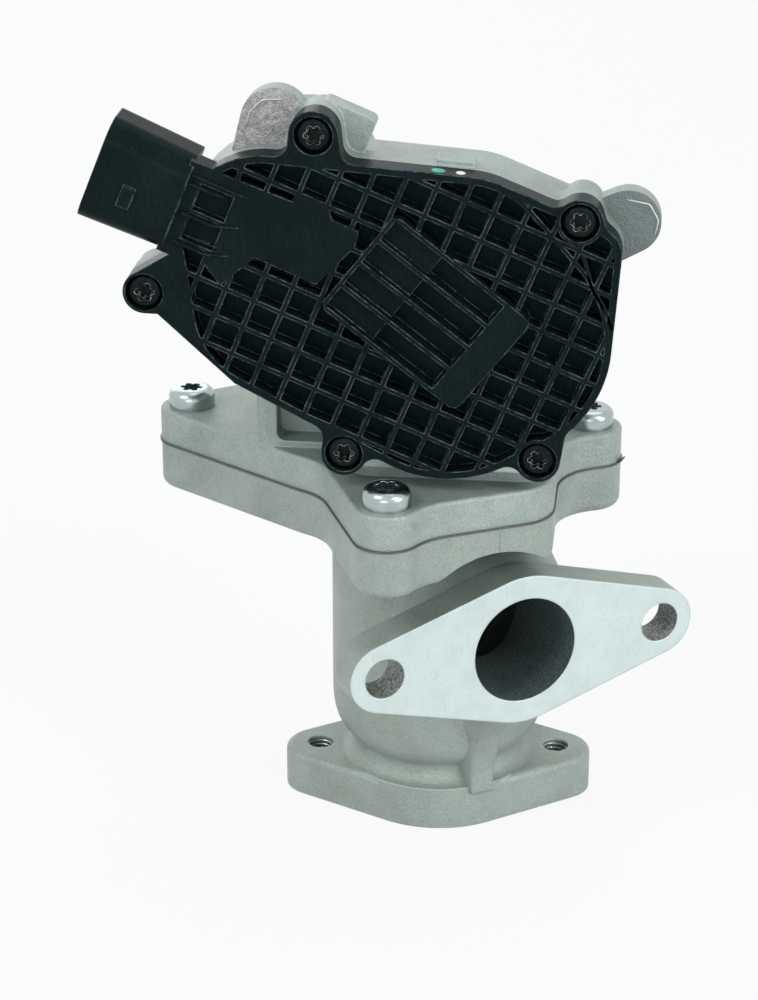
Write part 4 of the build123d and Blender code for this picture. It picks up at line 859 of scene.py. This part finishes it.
# -------- sub-assemblies
@dataclass
class ValveCasting:
    """Lower casting with its gasket, foot screws, thread crests, keel and parting lines."""

    hole_spacing: float = 54.8
    hole_turn: float = 4.6
    hole_radius: float = 3.0
    thread_span: Pair = (0.7, 9.5)
    pitch: float = 1.0
    keel: tuple[Triple, ...] = (
        (8.6, 23.3, 3.3), (10.5, 23.2, 3.6), (14.0, 23.2, 4.6), (19.0, 24.6, 6.4), (24.0, 26.2, 8.2),
        (31.0, 30.8, 10.4), (38.6, 35.5, 11.5))
    keel_back: float = 15.0
    keel_flat: float = 2.62
    port_line: float = -24.1
    port_span: Pair = (34.4, 42.0)
    port_line_height: float = 64.0 - 0.02
    port_bead: Pair = (0.11, 0.12)
    port_line_out: Triple = (-0.241, -0.145, 0.96)
    wall_line: tuple[Triple, ...] = ((16.3, -43.9, 84.2), (16.3, -43.9, 79.2))
    wall_line_out: Triple = (0.461, -0.887, 0.0)
    wall_bead: Pair = (0.08, 0.06)
    line_steps: int = 24
    tab_base: Triple = (39.7, -4.4, 84.85)
    tab_out: Triple = (0.954, -0.301, 0.0)
    tab_along: Triple = (0.301, 0.954, 0.0)
    tab_bend: float = 0.9
    tab_half_width: float = 0.9
    tab_half_thick: float = 0.15

    def build(self, dresser: Dresser) -> None:
        """Dresses the casting and adds its threads, keel, lines and the turned-up gasket tab.

        Args:
            dresser: Gives finishes and makes pieces.
        """
        dresser.dress(BODY_CAST, "valve_body")
        dresser.dress(GASKET, "body_gasket")
        dresser.dress(ZINC, "foot_screws")
        turn = math.radians(self.hole_turn)
        for name, side in (("base_thread_left", -1), ("base_thread_right", 1)):
            reach = side * self.hole_spacing / 2
            centre = (reach * math.cos(turn), reach * math.sin(turn))
            crest = thread(centre, self.hole_radius, *self.thread_span, self.pitch)
            dresser.piece(name, crest, CUT_THREAD)
        dresser.piece("port_keel", self.keel_shape(), BODY_CAST)
        dresser.piece("body_parting_lines", self.parting_lines(), BODY_CAST)
        dresser.piece("gasket_tab", self.gasket_tab(), GASKET, smooth=False)

    def keel_shape(self) -> Mesh:
        """Cast keel under the port, broad at the stub and narrow at its foot.

        At each height the front is flat over the middle and falls back to the neck by a
        smooth step, so point = out * (back + (reach - back) * s) + side * x, where
        s = 1 - 3q^2 + 2q^3 and q is the share of the way from the flat to the keel's border.

        Returns:
            The mesh.
        """
        rows = np.array(self.keel)
        heights = np.linspace(rows[0, 0], rows[-1, 0], 40)
        reach = np.interp(heights, rows[:, 0], rows[:, 1])[:, None]
        half = np.interp(heights, rows[:, 0], rows[:, 2])[:, None]
        x = np.linspace(-1.0, 1.0, 33)[None, :] * half
        q = np.clip((np.abs(x) - self.keel_flat) / (half - self.keel_flat), 0.0, 1.0)
        front = self.keel_back + (reach - self.keel_back) * (1.0 - 3.0 * q ** 2 + 2.0 * q ** 3)
        out, side = np.array(PORT_OUT), np.array(PORT_SIDE)
        level = heights[:, None, None] * np.array(UP)
        skin = front[..., None] * out + x[..., None] * side + level
        corners = half[:, :, None] * np.array([[[1.0], [-1.0]]])
        back = (self.keel_back - 1.0) * out + corners * side + level
        points = np.concatenate([skin, back], axis=1)
        return tube(points)

    def parting_lines(self) -> Mesh:
        """Thin beads where the halves of the mould met: over the port flange and down the wall.

        Returns:
            The mesh.
        """
        across = self.port_line
        ends = [[PORT_OUT[0] * d + PORT_SIDE[0] * across, PORT_OUT[1] * d + PORT_SIDE[1] * across,
                 self.port_line_height] for d in self.port_span]
        over = ridge(curve(ends, self.line_steps), self.port_line_out, *self.port_bead)
        wall = ridge(curve(self.wall_line, self.line_steps), self.wall_line_out, *self.wall_bead)
        return joined(over, wall)

    def gasket_tab(self) -> Mesh:
        """Gasket tab turned up at the wall.

        The sheet's middle line is a quarter circle of 0.9 mm from level to upright; its
        section is 0.3 mm thick and is carried 1.8 mm along the wall.

        Returns:
            The mesh.
        """
        a = np.linspace(0.0, 0.5 * np.pi, 12)
        line = np.stack([self.tab_bend * np.sin(a), self.tab_bend * (1.0 - np.cos(a))], axis=1)
        skin = self.tab_half_thick * np.stack([-np.sin(a), np.cos(a)], axis=1)
        section = np.concatenate([line + skin, (line - skin)[::-1]])
        width = np.linspace(-self.tab_half_width, self.tab_half_width, 9)
        points = (np.array(self.tab_base) + width[:, None, None] * np.array(self.tab_along)
                  + section[None, :, :1] * np.array(self.tab_out) + section[None, :, 1:] * np.array(UP))
        return tube(points)


@dataclass
class ActuatorCase:
    """Upper casting with its rear cap and the burrs on its lugs."""

    lug_front: float = -35.7
    burr_half: float = 0.2
    burr_rise: float = 0.25
    steps: int = 36
    burrs: tuple[tuple[Pair, ...], ...] = (
        ((-36.9, 165.6), (-35.9, 169.4), (-33.3, 171.9), (-28.7, 172.2)),
        ((39.6, 153.7), (44.3, 152.9), (46.2, 149.6), (45.6, 146.5)))

    def build(self, dresser: Dresser) -> None:
        """Dresses the case and adds the burrs on its lugs.

        Args:
            dresser: Gives finishes and makes pieces.
        """
        dresser.dress(CASE_CAST, "actuator_housing")
        dresser.dress(ZINC, "rear_cap")
        beads = [ridge(curve([(x, self.lug_front, z) for x, z in chain], self.steps), FRONT,
                       self.burr_half, self.burr_rise) for chain in self.burrs]
        dresser.piece("lug_burrs", joined(*beads), BURR)


@dataclass
class GearCover:
    """Ribbed cover with its seal, screws, pins, board, guide ribs, curved rib and paint dots."""

    front: float = -45.0
    guide_half: float = 0.42
    guide_rise: float = 0.75
    guide_taper: Pair = (0.05, 0.45)
    steps: int = 30
    guide_chains: tuple[tuple[Pair, ...], ...] = (
        ((-46.3, 158.9), (-39.0, 155.8), (-34.5, 154.0)), ((-47.1, 157.1), (-40.0, 154.2)),
        ((-49.2, 151.2), (-42.5, 148.4), (-37.0, 147.9)),
        ((-51.0, 145.3), (-44.2, 142.4), (-39.2, 142.0)))
    rib_chain: tuple[Pair, ...] = ((31.7, 144.8), (33.7, 137.6), (36.4, 133.5), (37.9, 129.3))
    rib_half: float = 0.45
    rib_foot: float = -4.0
    green_dot: Triple = (2.67, -42.6, 160.45)
    green_size: Pair = (1.45, 1.5)
    white_dot: Triple = (7.08, -42.7, 160.12)
    white_size: Pair = (1.0, 1.25)
    dot_out: Triple = (0.075, 0.0, 0.997)
    dot_thick: float = 0.12

    def build(self, dresser: Dresser) -> None:
        """Dresses the cover and adds the guide ribs, the curved rib and the paint dots.

        Args:
            dresser: Gives finishes and makes pieces.
        """
        dresser.dress(BLACK_COVER, "gear_cover")
        dresser.dress(BLACK_RUBBER, "cover_seal")
        dresser.dress(BLACK_SCREW, "cover_screws")
        dresser.dress(TIN, "connector_pins")
        dresser.dress(BOARD, "sensor_board")
        dresser.piece("connector_guides", self.guides(), BLACK_COVER)
        dresser.piece("cover_curved_rib", self.curved_rib(), BLACK_COVER)
        green = self.dot(self.green_dot, *self.green_size)
        white = self.dot(self.white_dot, *self.white_size)
        dresser.piece("paint_dot_green", green, GREEN_PAINT)
        dresser.piece("paint_dot_white", white, WHITE_PAINT)

    def guides(self) -> Mesh:
        """Ribs at the connector's root, thick at the root and pointed towards the cover.

        Returns:
            The mesh.
        """
        paths = [curve([(x, self.front, z) for x, z in chain], self.steps) for chain in self.guide_chains]
        beads = [ridge(path, FRONT, self.guide_half, self.guide_rise, self.guide_taper) for path in paths]
        return joined(*beads)

    def curved_rib(self) -> Mesh:
        """Second wall that bends round the upper right screw.

        Returns:
            The mesh.
        """
        chain = [(x, self.front, z) for x, z in self.rib_chain]
        return strip(curve(chain, self.steps), FRONT, self.rib_half, self.rib_foot, 0.0)

    def dot(self, centre: Triple, wide: float, deep: float) -> Mesh:
        """Dab of paint on the upper wall of the cover.

        Args:
            centre: Middle in millimetres.
            wide: Half width along the wall.
            deep: Half width from front to back.

        Returns:
            The mesh.
        """
        slope = self.dot_out
        return blob(centre, ((wide * slope[2], 0.0, -wide * slope[0]), (0.0, deep, 0.0),
                             tuple(self.dot_thick * value for value in slope)))


@dataclass
class ValveTrain:
    """Seat, poppet, stem, spring and follower."""

    spring_low: float = 78.0
    spring_high: float = 104.7
    spring_radius: float = 9.9
    wire: float = 0.9
    coils: float = 5.5
    rings: int = 240
    around: int = 16

    def build(self, dresser: Dresser) -> None:
        """Dresses the valve and its follower, and adds the spring.

        Args:
            dresser: Gives finishes and makes pieces.
        """
        dresser.dress(STAINLESS, "valve_seat", "valve_head", "valve_stem", "spring_seat",
                      "spring_retainer", "stem_fork")
        dresser.dress(HARD_STEEL, "return_spring", "roller_pin", "cam_roller", "lift_cam",
                      "output_shaft", "rear_bearing")
        dresser.dress(BRONZE, "stem_bush", "shaft_bush")
        dresser.dress(BLACK_RUBBER, "stem_seal")
        span = Span("housing", "poppet", (0.0, 0.0, self.spring_low * MM),
                    (0.0, 0.0, self.spring_high * MM))
        spring = dresser.piece("return_spring_wire", self.spring_shape(), HARD_STEEL,
                               between=span)
        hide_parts("return_spring")

    def spring_shape(self) -> Mesh:
        """Round wire on a helix: centre(a) + wire * (cos(p) * n(a) + sin(p) * b(a)).

        Here a winds up the coils, n points away from the axis, b is square to n and to the
        way the wire runs, and p goes round the wire.

        Returns:
            The mesh.
        """
        a = np.linspace(0.0, self.coils * 2.0 * np.pi, self.rings)
        low, high = self.spring_low + self.wire, self.spring_high - self.wire
        away = np.stack([np.cos(a), np.sin(a), np.zeros(self.rings)], axis=1)
        centre = self.spring_radius * away + np.linspace(low, high, self.rings)[:, None] * np.array(UP)
        square = unit(np.cross(np.gradient(centre, axis=0), away))
        p = np.arange(self.around) * 2.0 * np.pi / self.around
        points = (centre[:, None, :] + self.wire * (np.cos(p)[None, :, None] * away[:, None, :]
                                                    + np.sin(p)[None, :, None] * square[:, None, :]))
        return tube(points)


@dataclass
class GearDrive:
    """Motor and gears."""

    def build(self, dresser: Dresser) -> None:
        """Dresses the motor and the gears.

        Args:
            dresser: Gives finishes.
        """
        dresser.dress(GEAR_PLASTIC, "output_gear", "intermediate_gear")
        dresser.dress(BRONZE, "motor_pinion", "motor_bushes")
        dresser.dress(COPPER, "commutator", "motor_brushes")
        dresser.dress(MAGNET, "sensor_magnet", "motor_magnets", "armature")
        dresser.dress(ZINC, "motor_can", "motor_end_plate", "motor_screws")
        dresser.dress(HARD_STEEL, "gear_pin", "motor_shaft")
        dresser.dress(BLACK_COVER, "brush_holder")


# -------- studio
@dataclass(frozen=True)
class Lamp:
    """One soft area light."""

    name: str
    place: Triple
    size: float
    power: float


def seen_rays(tree: bpy.types.NodeTree, path: bpy.types.Node) -> Socket:
    """Mask of rays that look at the surroundings: camera, glossy and transmission rays.

    Args:
        tree: Node tree of the material or the world.
        path: Its Light Path node.

    Returns:
        The mask.
    """
    total = path.outputs["Is Camera Ray"]
    for name in ("Is Glossy Ray", "Is Transmission Ray"):
        larger = tree.nodes.new("ShaderNodeMath")
        larger.operation = "MAXIMUM"
        tree.links.new(total, larger.inputs[0])
        tree.links.new(path.outputs[name], larger.inputs[1])
        total = larger.outputs[0]
    return total


def show(tree: bpy.types.NodeTree, factor: Socket, first: bpy.types.Node,
         second: bpy.types.Node, output: str) -> None:
    """Mixes two shaders into the surface of an output node.

    Args:
        tree: Node tree of the material or the world.
        factor: Weight of the second shader.
        first: First shader.
        second: Second shader.
        output: Name of the output node.
    """
    blend = tree.nodes.new("ShaderNodeMixShader")
    for socket, source in zip(blend.inputs, (factor, first.outputs[0], second.outputs[0])):
        tree.links.new(source, socket)
    tree.links.new(blend.outputs[0], tree.nodes[output].inputs["Surface"])


def placed(name: str, data: bpy.types.ID, place: Sequence[float], aim: Sequence[float]) -> bpy.types.Object:
    """Adds a lamp or camera that looks at a point.

    Args:
        name: Object name.
        data: Its light or camera.
        place: Where it stands.
        aim: Point it looks at.

    Returns:
        The new object.
    """
    obj = bpy.data.objects.new(name, data)
    obj.location = place
    obj.rotation_euler = (Vector(aim) - Vector(place)).to_track_quat("-Z", "Y").to_euler()
    bpy.context.scene.collection.objects.link(obj)
    return obj


@dataclass
class Studio:
    """Pale floor, soft lights and the camera."""

    lens: float = 96.0
    eye: Triple = (0.0477, -0.5499, 0.3063)
    aim: Triple = (-0.0139, 0.0, 0.0711)
    world: float = 0.58
    middle: Triple = (0.0, 0.0, 0.09)
    floor_half: float = 6.0
    floor_level: float = -0.0002
    floor_glow: float = 0.88
    paper: Triple = (0.75, 0.76, 0.76)
    sky_tint: Triple = (0.94, 0.97, 1.0)
    lamps: tuple[Lamp, ...] = (
        Lamp("key", (-0.65, -0.70, 0.95), 0.5, 4.6),
        Lamp("fill", (1.1, -0.6, 0.22), 0.6, 3.4),
        Lamp("side", (0.95, -0.85, 0.85), 0.45, 4.6),
        Lamp("front", (-0.15, -1.25, 0.02), 0.7, 2.8),
        Lamp("top", (0.2, 0.3, 1.2), 0.8, 1.6),
        Lamp("rear", (-0.5, 1.0, 0.5), 0.9, 2.0))

    def build(self) -> None:
        """Places the floor, lights, world and camera."""
        self.floor()
        for lamp in self.lamps:
            self.light(lamp)
        self.sky()
        self.camera()

    def floor(self) -> None:
        """Pale floor that mostly glows white where it is looked at and still takes a faint shadow."""
        side, low = self.floor_half, self.floor_level
        mesh = bpy.data.meshes.new("floor")
        corners = [(-side, -side, low), (side, -side, low), (side, side, low), (-side, side, low)]
        mesh.from_pydata(corners, [], [(0, 1, 2, 3)])
        floor = bpy.data.objects.new("floor", mesh)
        bpy.context.scene.collection.objects.link(floor)
        material = bpy.data.materials.new("floor_paper")
        material.use_nodes = True
        tree = material.node_tree
        shader = tree.nodes["Principled BSDF"]
        shader.inputs["Base Color"].default_value = (*self.paper, 1.0)
        shader.inputs["Roughness"].default_value = 0.9
        shader.inputs["Specular IOR Level"].default_value = 0.1
        glow = tree.nodes.new("ShaderNodeEmission")
        glow.inputs["Color"].default_value = (1.0, 1.0, 1.0, 1.0)
        path = tree.nodes.new("ShaderNodeLightPath")
        share = tree.nodes.new("ShaderNodeMath")
        share.operation = "MULTIPLY"
        share.inputs[1].default_value = self.floor_glow
        tree.links.new(seen_rays(tree, path), share.inputs[0])
        show(tree, share.outputs[0], shader, glow, "Material Output")
        mesh.materials.append(material)

    def light(self, lamp: Lamp) -> None:
        """Adds an area light that looks at the middle of the part.

        Args:
            lamp: The light's place, size and power.
        """
        data = bpy.data.lights.new(lamp.name, "AREA")
        data.shape = "DISK"
        data.size = lamp.size
        data.energy = lamp.power
        placed(lamp.name, data, lamp.place, self.middle)

    def sky(self) -> None:
        """Even pale world, white where it is looked at, directly or in a reflection."""
        world = bpy.data.worlds.new("studio")
        bpy.context.scene.world = world
        world.use_nodes = True
        tree = world.node_tree
        back = tree.nodes["Background"]
        back.inputs["Color"].default_value = (*self.sky_tint, 1.0)
        back.inputs["Strength"].default_value = self.world
        white = tree.nodes.new("ShaderNodeBackground")
        white.inputs["Color"].default_value = (1.0, 1.0, 1.0, 1.0)
        path = tree.nodes.new("ShaderNodeLightPath")
        show(tree, seen_rays(tree, path), back, white, "World Output")

    def camera(self) -> None:
        """Places the camera and makes it the scene's."""
        data = bpy.data.cameras.new("camera")
        data.lens = self.lens
        data.sensor_width = 36.0
        data.sensor_fit = "AUTO"
        data.clip_start = 0.01
        bpy.context.scene.camera = placed("camera", data, self.eye, self.aim)


def main() -> None:
    """Builds the sub-assemblies in order and sets the studio."""
    logging.basicConfig(level=logging.INFO, format="%(name)s: %(message)s")
    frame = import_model()
    bpy.context.scene.view_settings.view_transform = "Standard"
    dresser = Dresser(frame["nodes"])
    for assembly in (ValveCasting(), ActuatorCase(), GearCover(), ValveTrain(), GearDrive()):
        assembly.build(dresser)
        LOG.info("%s done", type(assembly).__name__)
    Studio().build()


if __name__ == "__main__":
    main()
